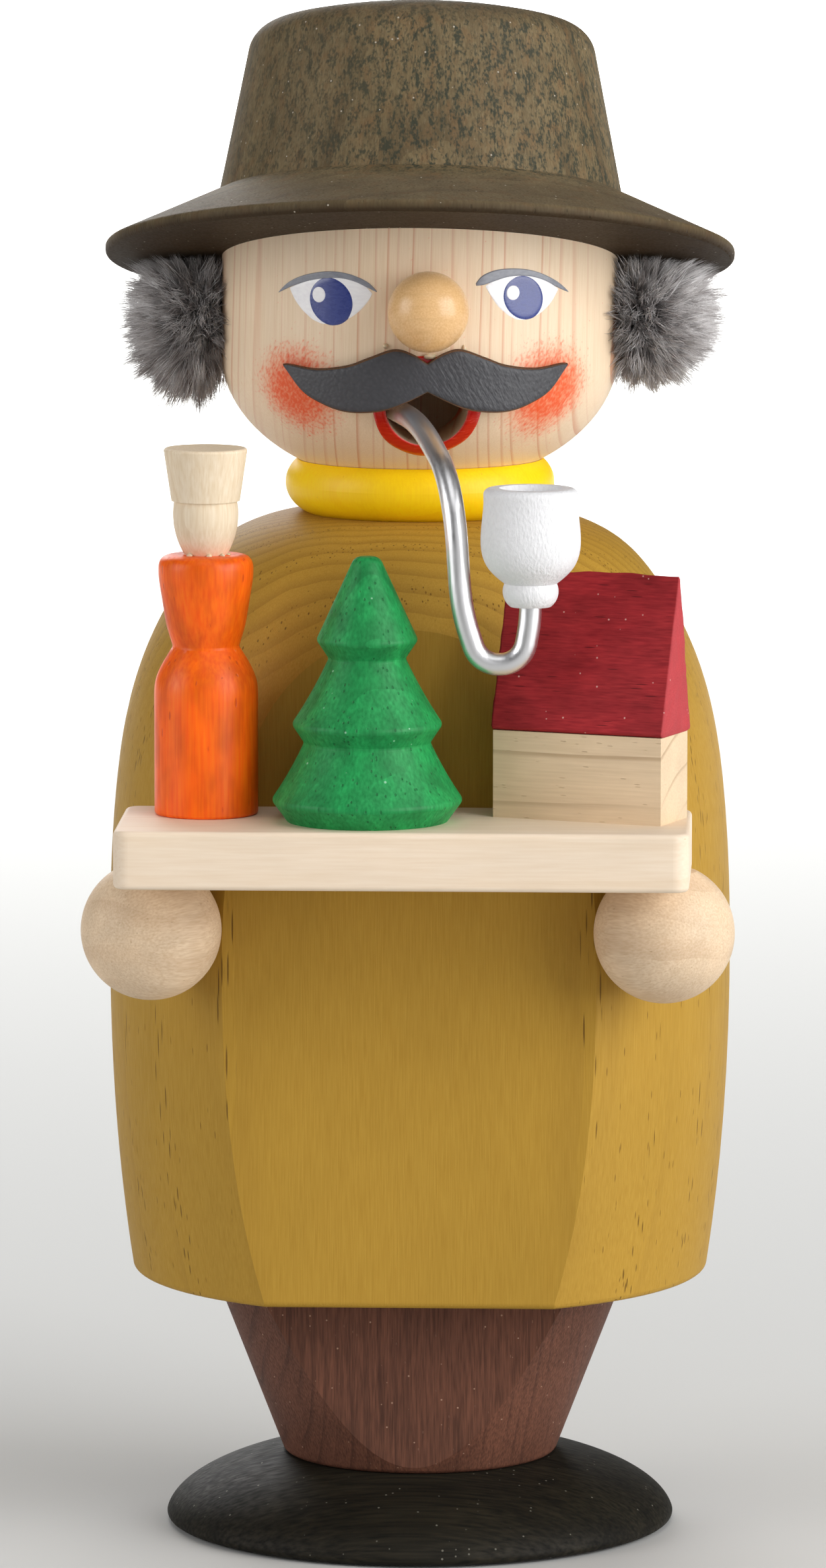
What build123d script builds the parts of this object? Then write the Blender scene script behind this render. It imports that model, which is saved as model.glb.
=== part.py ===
import os
from math import cos, radians, sin, sqrt, tan

from build123d import *

os.makedirs("parts", exist_ok=True)

# Lengths are in millimetres. Z is up from the table and the front of the figure looks along -Y.
# The origin is the centre of the base's underside.
overrun = 2.0
glue_gap = 0.04
running_gap = 0.08
drill_end_gap = 0.4
quarter_turn_angle = 90.0
half_turn_angle = 180.0

# Base, a turned dome
base_radius = 23.5
base_dome_height = 7.5
base_edge_round = 0.6
base_seat_margin = 0.15

# Legs, a turned cone with a sanded front facet, a tenon below and a spigot above
foot_radius = 12.5
foot_edge_round = 0.7
legs_height = 17.3
legs_top_radius = 19.2
legs_facet_distance = 12.75
foot_tenon_radius = 5.0
foot_tenon_recess = 0.4
spigot_height = 8.0
spigot_edge_chamfer = 0.6

# Burner, a pressed metal dish held by one tack
plate_radius = 10.6
plate_floor_radius = 9.4
plate_sheet = 0.5
plate_rim_height = 1.5
plate_corner_round = 0.3
tack_head_radius = 1.8
tack_head_height = 0.7
tack_shank_radius = 0.6
tack_length = 6.0

# Robe, a hollow turned body with a sanded front facet
robe_height = 70.0
robe_radius = 28.5
hem_edge_round = 0.6
robe_facet_cut = 5.5
chamber_radius = 12.5
chamber_depth = 48.0
duct_radius = 5.0
vent_radius = 2.0
vent_height_in_robe = 14.0
robe_outline_shares = (
    (0.0, 0.926),
    (0.137, 0.968),
    (0.405, 1.0),
    (0.620, 0.982),
    (0.794, 0.9035),
    (0.895, 0.785),
    (0.960, 0.650),
    (0.988, 0.520),
    (1.0, 0.379),
)

# Collar, a ring of oval section
collar_section_width = 7.0
collar_section_height = 6.0
collar_radius = 12.3
collar_flat_depth = 0.3

# Head, a barrel with a rounded chin and a hollow neck
head_radius = 18.1
head_crown_radius = 18.0
head_equator_height = 14.4
chin_depth = 12.1
head_height_above_equator = 14.5
neck_radius = 6.0
neck_socket_depth = 12.0
neck_bore_radius = 3.5
neck_bore_end_height = 15.4
face_yaw = 4.5
mouth_height = 11.1
mouth_radius = 3.75

# Hat, turned in one piece and set on a slanting cut across the head
hat_tilt = 13.0
hat_seat_height = 23.05
brim_radius = 28.7
brim_rim_height = 1.0
brim_rim_round = 0.45
brim_root_height = 5.8
crown_base_radius = 18.4
crown_top_radius = 15.5
crown_edge_round = 3.0
hat_height = 23.1
crown_dome_rise = 2.2
hat_dowel_radius = 3.0
hat_dowel_half_length = 5.5
dowel_end_chamfer = 0.4

# Nose, a ball on a peg
nose_radius = 3.63
nose_distance = 20.7
nose_height = 19.9
nose_peg_radius = 1.25
nose_peg_length = 7.0

# Moustache, a piece of leather bent round the upper lip
moustache_half_width = 12.8
moustache_height = 5.7
moustache_bottom_height = 10.65
moustache_thickness = 1.2
moustache_skin_gap = 0.05
moustache_upper_shares = (
    (0.0, 0.785),
    (0.115, 0.94),
    (0.236, 1.0),
    (0.406, 0.865),
    (0.555, 0.735),
    (0.765, 0.665),
    (0.95, 0.71),
)
moustache_tip_height_share = 0.70
moustache_lower_shares = (
    (0.87, 0.31),
    (0.728, 0.118),
    (0.587, 0.015),
    (0.44, 0.0),
    (0.277, 0.055),
    (0.138, 0.18),
)
moustache_notch_height_share = 0.335

# Hair, a strip of fur from one temple round the back of the head to the other
hair_ring_radius = 22.3
hair_pile_radius = 6.3
hair_height = 17.0
hair_gap = 0.05
hair_hat_gap = 0.3

# Hands, wooden balls pinned to the robe
hand_radius = 6.3
hand_bearing = 41.2
hand_centre_below_tray = 5.6
hand_robe_gap = 0.02
hand_peg_radius = 1.5
hand_peg_depth_in_hand = 4.0
hand_peg_depth_in_robe = 6.0

# Tray, a board glued to the robe's facet with two dowels
tray_overhang_past_hand = 2.41
tray_depth = 17.7
tray_thickness = 5.2
tray_underside_below_robe_top = 29.5
tray_corner_round = 1.4
tray_edge_round = 0.45
tray_dowel_radius = 1.5
tray_dowel_half_length = 6.0
tray_dowel_spacing = 22.0

# Little figure on the tray, a turned gown and a turned head with a hat
gown_across_share = -0.3516
gown_forward_on_tray = 5.1
gown_height = 23.2
gown_radius = 4.62
gown_foot_round = 0.3
gown_skirt_shares = (
    (1.0, 0.455),
    (0.965, 0.522),
    (0.86, 0.573),
)
gown_waist_radius = 2.95
gown_waist_height_share = 0.647
gown_waist_round = 0.3
gown_bodice_shares = (
    (0.757, 0.727),
    (0.845, 0.83),
    (0.916, 0.945),
)
gown_top_radius = 3.0
figure_neck_radius = 1.9
figure_peg_radius = 1.0
figure_peg_length = 4.0
figure_head_radius = 2.8
figure_head_height = 4.8
figure_hat_base_radius = 3.05
figure_hat_top_radius = 3.75
figure_hat_height = 4.7
figure_hat_edge_round = 0.25

# Tree on the tray, turned with three tiers
tree_across_share = -0.065
tree_forward_on_tray = 9.0
tree_height = 23.5
tree_radius = 8.5
tree_foot_radius = 7.15
tree_tip_radius = 1.1
tree_tier_radius_shares = (1.0, 0.788, 0.531)
tree_tier_height_shares = (0.079, 0.366, 0.685)
tree_waist_radius_shares = (0.659, 0.402)
tree_waist_height_shares = (0.296, 0.615)
tree_tip_round = 0.9
tree_edge_round = 0.5
tree_waist_round = 0.3
tree_slope_bow = 0.1

# House on the tray, a wall block and a gable roof block
house_across_share = 0.153
house_forward_on_tray = 6.5
house_turn = -20.5
house_length = 16.0
house_depth = 6.4
house_wall_height = 7.8
roof_height = 14.2
roof_ridge_share = 0.64
roof_overhang = 0.25

# Pipe, a bent wire and a turned bowl
wire_radius = 1.0
pipe_plane_bearing = 17.8
pipe_entry_across = -1.44
pipe_entry_forward = 14.63
pipe_entry_height = 10.8
pipe_rise = 5.1
bowl_forward_on_tray = 10.58
bowl_height_above_tray = 19.3
bowl_offset = 6.55
pipe_neck_shares = (
    (-0.40, 0.010),
    (0.40, -0.035),
    (0.83, -0.200),
    (0.985, -0.395),
)
pipe_loop_shares = (
    (0.067, -0.776),
    (0.313, -1.007),
    (0.88, -0.998),
    (1.0, -0.829),
)
wire_bend_share = 0.48
bowl_height = 10.5
bowl_bead_height_share = 0.105
bowl_neck_height_share = 0.195
bowl_cup_shares = (
    (0.76, 0.279),
    (0.882, 0.344),
    (0.952, 0.409),
    (1.0, 0.6),
)
bowl_radius = 4.41
bowl_rim_radius = 4.27
bowl_neck_radius = 2.32
bowl_bead_radius = 2.45
bowl_foot_radius = 1.8
bowl_rim_round = 0.6
bowl_hollow_radius = 2.8
bowl_hollow_depth = 2.0
bowl_wire_depth = 3.0


# Heights that follow from the stack of turned pieces, and from the tray's place on the robe
base_seat_height = base_dome_height * sqrt(1 - ((foot_radius + base_seat_margin) / base_radius) ** 2)
hem_height = base_seat_height + legs_height
robe_top_height = hem_height + robe_height
spigot_radius = chamber_radius - running_gap
spigot_top_height = hem_height + spigot_height
equator_height = robe_top_height + head_equator_height
neck_bottom_height = robe_top_height - neck_socket_depth + drill_end_gap
tray_underside_height = robe_top_height - tray_underside_below_robe_top
tray_top_height = tray_underside_height + tray_thickness
hat_seat_centre_height = robe_top_height + hat_seat_height
hand_height = tray_underside_height - hand_centre_below_tray
pipe_entry_place_height = robe_top_height + pipe_entry_height
bowl_bottom_height = tray_top_height + bowl_height_above_tray
pipe_drop = pipe_entry_place_height + pipe_rise - bowl_bottom_height

# Distances from the middle that follow from the robe's girth and from the hands under the tray
robe_facet_distance = robe_radius - robe_facet_cut
hand_distance = robe_radius + hand_radius + hand_robe_gap
tray_width = 2 * (hand_distance * sin(radians(hand_bearing)) + tray_overhang_past_hand)
bowl_forward = robe_facet_distance + bowl_forward_on_tray
pipe_reach = (bowl_forward - pipe_entry_forward) / cos(radians(pipe_plane_bearing))

# Directions that follow from the angles
face_x = Vector(cos(radians(face_yaw)), sin(radians(face_yaw)), 0)
face_out = Vector(sin(radians(face_yaw)), -cos(radians(face_yaw)), 0)
hat_up = Vector(0, sin(radians(hat_tilt)), cos(radians(hat_tilt)))
hat_seat = Plane(origin=(0, 0, hat_seat_centre_height), x_dir=(1, 0, 0), z_dir=hat_up)
hat_section = Plane(
    origin=(0, 0, hat_seat_centre_height),
    x_dir=(1, 0, 0),
    z_dir=(0, -cos(radians(hat_tilt)), sin(radians(hat_tilt))),
)


def face_plane(height, distance=0.0):
    """Upright plane that looks out of the face, at a height above the table."""
    place = face_out * distance + Vector(0, 0, height)
    return Plane(origin=place, x_dir=face_x, z_dir=face_out)


def rings(piece, radius):
    """The round edges of a turned piece that have a given radius."""
    return [
        edge
        for edge in piece.edges().filter_by(GeomType.CIRCLE)
        if abs(edge.radius - radius) < glue_gap
    ]


def save(piece, name):
    piece.part.label = name
    export_step(piece.part, f"parts/{name}.step")


# Base: the dome is a quarter ellipse, cut flat where the legs stand, and bored for their tenon
with BuildPart() as base:
    with BuildSketch(Plane.XZ):
        with BuildLine():
            EllipticalCenterArc(
                (0, 0), base_radius, base_dome_height, start_angle=0, arc_size=quarter_turn_angle
            )
            Line((0, base_dome_height), (0, 0))
            Line((0, 0), (base_radius, 0))
        make_face()
    revolve(axis=Axis.Z)
    split(bisect_by=Plane.XY.offset(base_seat_height), keep=Keep.BOTTOM)
    fillet(base.edges().group_by(Axis.Z)[0], radius=base_edge_round)
    with BuildSketch(Plane.XY.offset(-overrun)):
        Circle(foot_tenon_radius + glue_gap)
    extrude(amount=base_dome_height + 2 * overrun, mode=Mode.SUBTRACT)
save(base, "base")

# Legs: cone, tenon and spigot are one turning, and the facet stops at the robe's hem
with BuildPart() as legs:
    with BuildSketch(Plane.XZ):
        with BuildLine():
            Polyline(
                (0, foot_tenon_recess),
                (foot_tenon_radius, foot_tenon_recess),
                (foot_tenon_radius, base_seat_height),
                (foot_radius, base_seat_height),
                (legs_top_radius, hem_height),
                (spigot_radius, hem_height),
                (spigot_radius, spigot_top_height),
                (0, spigot_top_height),
                close=True,
            )
        make_face()
    revolve(axis=Axis.Z)
    split(bisect_by=Plane.XZ.offset(legs_facet_distance), keep=Keep.BOTTOM)
    fillet(rings(legs, foot_radius), radius=foot_edge_round)
    chamfer(legs.edges().group_by(Axis.Z)[-1], spigot_edge_chamfer)
    with BuildSketch(Plane.XY.offset(spigot_top_height)):
        Circle(tack_shank_radius + glue_gap)
    extrude(amount=-(tack_length + drill_end_gap), mode=Mode.SUBTRACT)
save(legs, "legs")

# Burner plate: a dish of sheet metal whose rim flares outward
with BuildPart() as burner_plate:
    with BuildSketch(Plane.XZ):
        with BuildLine():
            Polyline(
                (tack_shank_radius + glue_gap, spigot_top_height),
                (plate_floor_radius, spigot_top_height),
                (plate_radius, spigot_top_height + plate_rim_height),
                (plate_radius - plate_sheet, spigot_top_height + plate_rim_height),
                (plate_floor_radius - plate_corner_round, spigot_top_height + plate_sheet),
                (tack_shank_radius + glue_gap, spigot_top_height + plate_sheet),
                close=True,
            )
        make_face()
    revolve(axis=Axis.Z)
save(burner_plate, "burner_plate")

# Burner tack: a round-headed nail through the dish into the spigot
tack_head_base_height = spigot_top_height + plate_sheet
tack_cap_radius = (tack_head_radius**2 + tack_head_height**2) / (2 * tack_head_height)
with BuildPart() as burner_tack:
    with BuildSketch(Plane.XZ):
        with BuildLine():
            RadiusArc(
                (0, tack_head_base_height + tack_head_height),
                (tack_head_radius, tack_head_base_height),
                tack_cap_radius,
            )
            Polyline(
                (tack_head_radius, tack_head_base_height),
                (tack_shank_radius, tack_head_base_height),
                (tack_shank_radius, spigot_top_height - tack_length + tack_shank_radius),
                (0, spigot_top_height - tack_length),
                (0, tack_head_base_height + tack_head_height),
            )
        make_face()
    revolve(axis=Axis.Z)
save(burner_tack, "burner_tack")


def hand_axis_plane(side, distance):
    """Plane across the level axis of a hand and its peg, at a distance from the robe's middle."""
    bearing = radians(side * hand_bearing)
    out = Vector(sin(bearing), -cos(bearing), 0)
    return Plane(origin=out * distance + Vector(0, 0, hand_height), z_dir=out)


# Robe: turned from a smooth outline, faceted, then bored for chamber, duct, neck, pegs and vent
robe_outline = [
    (robe_radius * radius_share, hem_height + robe_height * height_share)
    for height_share, radius_share in robe_outline_shares
]
tray_dowel_height = tray_underside_height + tray_thickness / 2

with BuildPart() as robe:
    with BuildSketch(Plane.XZ):
        with BuildLine():
            Spline(*robe_outline)
            Polyline(robe_outline[-1], (0, robe_top_height), (0, hem_height), robe_outline[0])
        make_face()
    revolve(axis=Axis.Z)
    split(bisect_by=Plane.XZ.offset(robe_facet_distance), keep=Keep.BOTTOM)
    fillet(robe.edges().group_by(Axis.Z)[0], radius=hem_edge_round)
    with BuildSketch(Plane.XY.offset(hem_height)):
        Circle(chamber_radius)
    extrude(amount=chamber_depth, mode=Mode.SUBTRACT)
    with BuildSketch(Plane.XY.offset(hem_height)):
        Circle(duct_radius)
    extrude(amount=robe_height, mode=Mode.SUBTRACT)
    with BuildSketch(Plane.XY.offset(robe_top_height)):
        Circle(neck_radius + glue_gap)
    extrude(amount=-neck_socket_depth, mode=Mode.SUBTRACT)
    with BuildSketch(Plane.XZ.offset(-(robe_radius + overrun)).shift_origin(
        (0, robe_radius + overrun, hem_height + vent_height_in_robe)
    )):
        Circle(vent_radius)
    extrude(amount=robe_radius + overrun, mode=Mode.SUBTRACT)
    for side in (-1, 1):
        with BuildSketch(hand_axis_plane(side, robe_radius + overrun)):
            Circle(hand_peg_radius + glue_gap)
        extrude(amount=-(overrun + hand_peg_depth_in_robe + drill_end_gap), mode=Mode.SUBTRACT)
        with BuildSketch(Plane.XZ.offset(robe_facet_distance).shift_origin(
            (side * tray_dowel_spacing / 2, -robe_facet_distance, tray_dowel_height)
        )):
            Circle(tray_dowel_radius + glue_gap)
        extrude(amount=-(tray_dowel_half_length + drill_end_gap), mode=Mode.SUBTRACT)
save(robe, "robe")

# Collar: a ring of oval section, flattened below and hollowed above where the chin sits in it
collar_section_centre = (
    collar_radius - collar_section_width / 2,
    robe_top_height + collar_section_height / 2 - collar_flat_depth,
)
with BuildPart() as collar:
    with BuildSketch(Plane.XZ):
        with Locations(collar_section_centre):
            Ellipse(collar_section_width / 2, collar_section_height / 2)
    revolve(axis=Axis.Z)
    split(bisect_by=Plane.XY.offset(robe_top_height), keep=Keep.TOP)
    with BuildSketch(Plane.XY.offset(robe_top_height - overrun)):
        Circle(neck_radius + glue_gap)
    extrude(amount=collar_section_height + 2 * overrun, mode=Mode.SUBTRACT)
    with BuildSketch(Plane.XZ):
        with BuildLine():
            EllipticalCenterArc(
                (0, equator_height),
                head_radius + glue_gap,
                chin_depth + glue_gap,
                start_angle=-quarter_turn_angle,
                arc_size=quarter_turn_angle,
            )
            Line((head_radius + glue_gap, equator_height), (0, equator_height))
            Line((0, equator_height), (0, equator_height - chin_depth - glue_gap))
        make_face()
    revolve(axis=Axis.Z, mode=Mode.SUBTRACT)
save(collar, "collar")


def pipe_neck_place(reach_share, drop_share):
    """A point of the wire between the mouth and the hanging run, in the wire's upright plane."""
    bearing = radians(pipe_plane_bearing)
    reach = pipe_reach * reach_share
    return Vector(
        pipe_entry_across + reach * sin(bearing),
        -pipe_entry_forward - reach * cos(bearing),
        pipe_entry_place_height + pipe_drop * drop_share,
    )


def pipe_loop_place(across_share, drop_share):
    """A point of the loop that carries the bowl, in a plane parallel to the face of the robe."""
    return pipe_neck_place(1, drop_share) + Vector(bowl_offset * across_share, 0, 0)


pipe_route = [pipe_neck_place(*shares) for shares in pipe_neck_shares]
pipe_route += [pipe_loop_place(*shares) for shares in pipe_loop_shares]
bowl_bottom = pipe_loop_place(1, -1) + Vector(0, 0, pipe_rise)
pipe_route += [bowl_bottom + Vector(0, 0, bowl_wire_depth)]
wire_start_direction = (pipe_route[1] - pipe_route[0]).normalized()

# Head: barrel and chin, cut on a slant for the hat, bored up the neck and in at the mouth
head_top_height = equator_height + head_height_above_equator
with BuildPart() as head:
    with BuildSketch(Plane.XZ):
        with BuildLine():
            EllipticalCenterArc(
                (0, equator_height),
                head_radius,
                chin_depth,
                start_angle=-quarter_turn_angle,
                arc_size=quarter_turn_angle,
            )
            TangentArc(
                (head_radius, equator_height), (head_crown_radius, head_top_height), tangent=(0, 1)
            )
            Polyline(
                (head_crown_radius, head_top_height), (0, head_top_height), (0, equator_height - chin_depth)
            )
        make_face()
    revolve(axis=Axis.Z)
    split(bisect_by=hat_seat, keep=Keep.BOTTOM)
    with BuildSketch(Plane.XY.offset(neck_bottom_height)):
        Circle(neck_radius)
    extrude(until=Until.NEXT)
    with BuildSketch(Plane.XY.offset(neck_bottom_height)):
        Circle(neck_bore_radius)
    extrude(
        amount=robe_top_height + neck_bore_end_height - neck_bottom_height,
        mode=Mode.SUBTRACT,
    )
    with BuildSketch(face_plane(robe_top_height + mouth_height)):
        Circle(mouth_radius)
    extrude(amount=head_radius + overrun, mode=Mode.SUBTRACT)
    with BuildSketch(Plane(origin=pipe_route[0] - wire_start_direction * drill_end_gap,
                           z_dir=wire_start_direction)):
        Circle(wire_radius + glue_gap)
    extrude(amount=pipe_reach, mode=Mode.SUBTRACT)
    with BuildSketch(face_plane(robe_top_height + nose_height, nose_distance)):
        Circle(nose_peg_radius + glue_gap)
    extrude(amount=-(nose_peg_length + drill_end_gap), mode=Mode.SUBTRACT)
    with Locations(face_plane(robe_top_height + nose_height, nose_distance)):
        Sphere(nose_radius + glue_gap, mode=Mode.SUBTRACT)
    with BuildSketch(hat_seat):
        Circle(hat_dowel_radius + glue_gap)
    extrude(amount=-(hat_dowel_half_length + drill_end_gap), mode=Mode.SUBTRACT)
save(head, "head")

# Hat: flat below, with a sloping brim and a tapering crown whose top is slightly domed
with BuildPart() as hat:
    with BuildSketch(hat_section):
        with BuildLine():
            Polyline(
                (0, 0),
                (brim_radius, 0),
                (brim_radius, brim_rim_height),
                (crown_base_radius, brim_root_height),
                (crown_top_radius, hat_height - crown_dome_rise),
            )
            ThreePointArc(
                (crown_top_radius, hat_height - crown_dome_rise),
                (crown_top_radius / 2, hat_height - crown_dome_rise / 4),
                (0, hat_height),
            )
            Line((0, hat_height), (0, 0))
        make_face()
    revolve(axis=Axis(hat_section.origin, hat_up))
    fillet(rings(hat, crown_top_radius), radius=crown_edge_round)
    fillet(rings(hat, brim_radius), radius=brim_rim_round)
    with BuildSketch(hat_seat):
        Circle(hat_dowel_radius + glue_gap)
    extrude(amount=hat_dowel_half_length + drill_end_gap, mode=Mode.SUBTRACT)
save(hat, "hat")

# Hat dowel: half of it stands in the head and half in the hat
with BuildPart() as hat_dowel:
    with BuildSketch(hat_seat.offset(-hat_dowel_half_length)):
        Circle(hat_dowel_radius)
    extrude(amount=2 * hat_dowel_half_length)
    chamfer(hat_dowel.edges().filter_by(GeomType.CIRCLE), dowel_end_chamfer)
save(hat_dowel, "hat_dowel")

# Nose: the ball sinks a little into the face and its peg holds it
with BuildPart(face_plane(robe_top_height + nose_height, nose_distance)) as nose:
    Sphere(nose_radius)
    Cylinder(nose_peg_radius, nose_peg_length, align=(Align.CENTER, Align.CENTER, Align.MAX))
save(nose, "nose")


def moustache_place(across_share, height_share):
    """A point of the moustache's outline, seen flat from the front."""
    return (moustache_half_width * across_share, moustache_height * height_share)


# Moustache: the outline is cut through a thin layer bent round the face
moustache_base_height = robe_top_height + moustache_bottom_height
moustache_tip = moustache_place(1, moustache_tip_height_share)
upper_edge = [moustache_place(*shares) for shares in moustache_upper_shares] + [moustache_tip]
lower_edge = [moustache_tip] + [moustache_place(*shares) for shares in moustache_lower_shares]
lower_edge += [moustache_place(0, moustache_notch_height_share)]
with BuildPart() as moustache:
    with BuildSketch(face_plane(moustache_base_height)) as moustache_outline:
        with BuildLine():
            Spline(*upper_edge)
            Spline(*lower_edge)
            Line(lower_edge[-1], upper_edge[0])
        make_face()
        mirror(about=Plane.YZ)
    extrude(amount=head_radius + moustache_thickness + overrun)
    with BuildSketch(Plane.XY.offset(moustache_base_height - overrun)):
        Circle(head_radius + moustache_skin_gap + moustache_thickness)
        Circle(head_radius + moustache_skin_gap, mode=Mode.SUBTRACT)
    extrude(amount=moustache_height + 2 * overrun, mode=Mode.INTERSECT)
save(moustache, "moustache")

# Hair: a thick half ring with half-ball ends, hollowed for the head and cut clear of the brim
hair_centre_height = robe_top_height + hair_height
with BuildPart() as hair:
    with BuildSketch(Plane.XZ):
        with Locations((hair_ring_radius, hair_centre_height)):
            Circle(hair_pile_radius)
    revolve(axis=Axis.Z, revolution_arc=half_turn_angle)
    with Locations((hair_ring_radius, 0, hair_centre_height), (-hair_ring_radius, 0, hair_centre_height)):
        Sphere(
            hair_pile_radius,
            arc_size3=half_turn_angle,
            rotation=(0, 0, half_turn_angle),
            align=(Align.CENTER, Align.MIN, Align.CENTER),
        )
    with BuildSketch(Plane.XY.offset(equator_height)):
        Circle(head_radius + hair_gap)
    extrude(amount=head_height_above_equator, mode=Mode.SUBTRACT)
    with BuildSketch(Plane.XZ):
        with BuildLine():
            EllipticalCenterArc(
                (0, equator_height),
                head_radius + hair_gap,
                chin_depth + hair_gap,
                start_angle=-quarter_turn_angle,
                arc_size=quarter_turn_angle,
            )
            Line((head_radius + hair_gap, equator_height), (0, equator_height))
            Line((0, equator_height), (0, equator_height - chin_depth - hair_gap))
        make_face()
    revolve(axis=Axis.Z, mode=Mode.SUBTRACT)
    split(bisect_by=hat_seat.offset(-hair_hat_gap), keep=Keep.BOTTOM)
save(hair, "hair")

# Hands and pegs: left and right are as the viewer sees them
for side, side_name in ((-1, "left"), (1, "right")):
    with BuildPart(hand_axis_plane(side, hand_distance)) as hand:
        Sphere(hand_radius)
        split(bisect_by=Plane.XY.offset(tray_underside_height), keep=Keep.BOTTOM)
        with BuildSketch(hand_axis_plane(side, hand_distance - hand_radius - overrun)):
            Circle(hand_peg_radius + glue_gap)
        extrude(amount=overrun + hand_peg_depth_in_hand + drill_end_gap, mode=Mode.SUBTRACT)
    save(hand, f"hand_{side_name}")

    peg_start = robe_radius - hand_peg_depth_in_robe
    with BuildPart() as hand_peg:
        with BuildSketch(hand_axis_plane(side, peg_start)):
            Circle(hand_peg_radius)
        extrude(amount=hand_distance - hand_radius + hand_peg_depth_in_hand - peg_start)
        chamfer(hand_peg.edges().filter_by(GeomType.CIRCLE), dowel_end_chamfer)
    save(hand_peg, f"hand_peg_{side_name}")

# Tray: a board with rounded corners and softened edges
tray_centre = (0, -robe_facet_distance - tray_depth / 2)
with BuildPart() as tray:
    with BuildSketch(Plane.XY.offset(tray_underside_height)):
        with Locations(tray_centre):
            Rectangle(tray_width, tray_depth)
    extrude(amount=tray_thickness)
    fillet(tray.edges().filter_by(Axis.Z), radius=tray_corner_round)
    fillet(tray.faces().filter_by(Axis.Z).edges(), radius=tray_edge_round)
    for side in (-1, 1):
        with BuildSketch(Plane.XZ.offset(robe_facet_distance).shift_origin(
            (side * tray_dowel_spacing / 2, -robe_facet_distance, tray_dowel_height)
        )):
            Circle(tray_dowel_radius + glue_gap)
        extrude(amount=tray_dowel_half_length + drill_end_gap, mode=Mode.SUBTRACT)
save(tray, "tray")

# Tray dowels: two pins between the board's back edge and the robe
with BuildPart() as tray_dowels:
    for side in (-1, 1):
        with BuildSketch(Plane.XZ.offset(robe_facet_distance - tray_dowel_half_length).shift_origin(
            (side * tray_dowel_spacing / 2, -robe_facet_distance + tray_dowel_half_length, tray_dowel_height)
        )):
            Circle(tray_dowel_radius)
        extrude(amount=2 * tray_dowel_half_length)
    chamfer(tray_dowels.edges().filter_by(GeomType.CIRCLE), dowel_end_chamfer)
save(tray_dowels, "tray_dowels")


def tray_place(across_share, forward, height=0.0):
    """A point on or over the tray, from its middle across and from the robe's facet forward."""
    return Vector(
        tray_width * across_share,
        -robe_facet_distance - forward,
        tray_top_height + height,
    )


def tray_section(across_share, forward, height=0.0):
    """Upright plane through a turned piece that stands on the tray."""
    place = tray_place(across_share, forward, height)
    return Plane(origin=place, x_dir=(1, 0, 0), z_dir=(0, -1, 0))


# Gown of the little figure: a straight skirt, a narrow waist, and a bodice that widens to the shoulders
gown_section = tray_section(gown_across_share, gown_forward_on_tray)
gown_skirt, gown_bodice = (
    [Vector(gown_radius * radius_share, gown_height * height_share) for radius_share, height_share in shares]
    for shares in (gown_skirt_shares, gown_bodice_shares)
)
gown_waist = Vector(gown_waist_radius, gown_height * gown_waist_height_share)
with BuildPart() as figure_gown:
    with BuildSketch(gown_section):
        with BuildLine():
            Polyline((0, 0), (gown_radius, 0), gown_skirt[0])
            Spline(*gown_skirt, gown_waist, tangents=((0, 1), gown_waist - gown_skirt[-1]))
            Spline(gown_waist, *gown_bodice, tangents=(gown_bodice[0] - gown_waist, (0, 1)))
            Spline(gown_bodice[-1], (gown_top_radius, gown_height), tangents=((0, 1), (-1, 0)))
            Polyline((gown_top_radius, gown_height), (0, gown_height), (0, 0))
        make_face()
    revolve(axis=Axis(gown_section.origin, (0, 0, 1)))
    fillet(figure_gown.edges().group_by(Axis.Z)[0], radius=gown_foot_round)
    fillet(rings(figure_gown, gown_waist_radius), radius=gown_waist_round)
    with BuildSketch(Plane(origin=gown_section.origin + Vector(0, 0, gown_height))):
        Circle(figure_peg_radius + glue_gap)
    extrude(amount=-(figure_peg_length + drill_end_gap), mode=Mode.SUBTRACT)
save(figure_gown, "figure_gown")

# Head of the little figure: peg, round head and a hat that widens to its flat top
figure_section = tray_section(gown_across_share, gown_forward_on_tray, gown_height)
with BuildPart() as figure_head:
    with BuildSketch(figure_section):
        with BuildLine():
            Polyline(
                (0, -figure_peg_length),
                (figure_peg_radius, -figure_peg_length),
                (figure_peg_radius, 0),
                (figure_neck_radius, 0),
            )
            ThreePointArc(
                (figure_neck_radius, 0),
                (figure_head_radius, figure_head_height / 2),
                (figure_head_radius, figure_head_height),
            )
            Polyline(
                (figure_head_radius, figure_head_height),
                (figure_hat_base_radius, figure_head_height),
                (figure_hat_top_radius, figure_head_height + figure_hat_height),
                (0, figure_head_height + figure_hat_height),
                (0, -figure_peg_length),
            )
        make_face()
    revolve(axis=Axis(figure_section.origin, (0, 0, 1)))
    fillet(figure_head.edges().group_by(Axis.Z)[-1], radius=figure_hat_edge_round)
save(figure_head, "figure_head")

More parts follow.
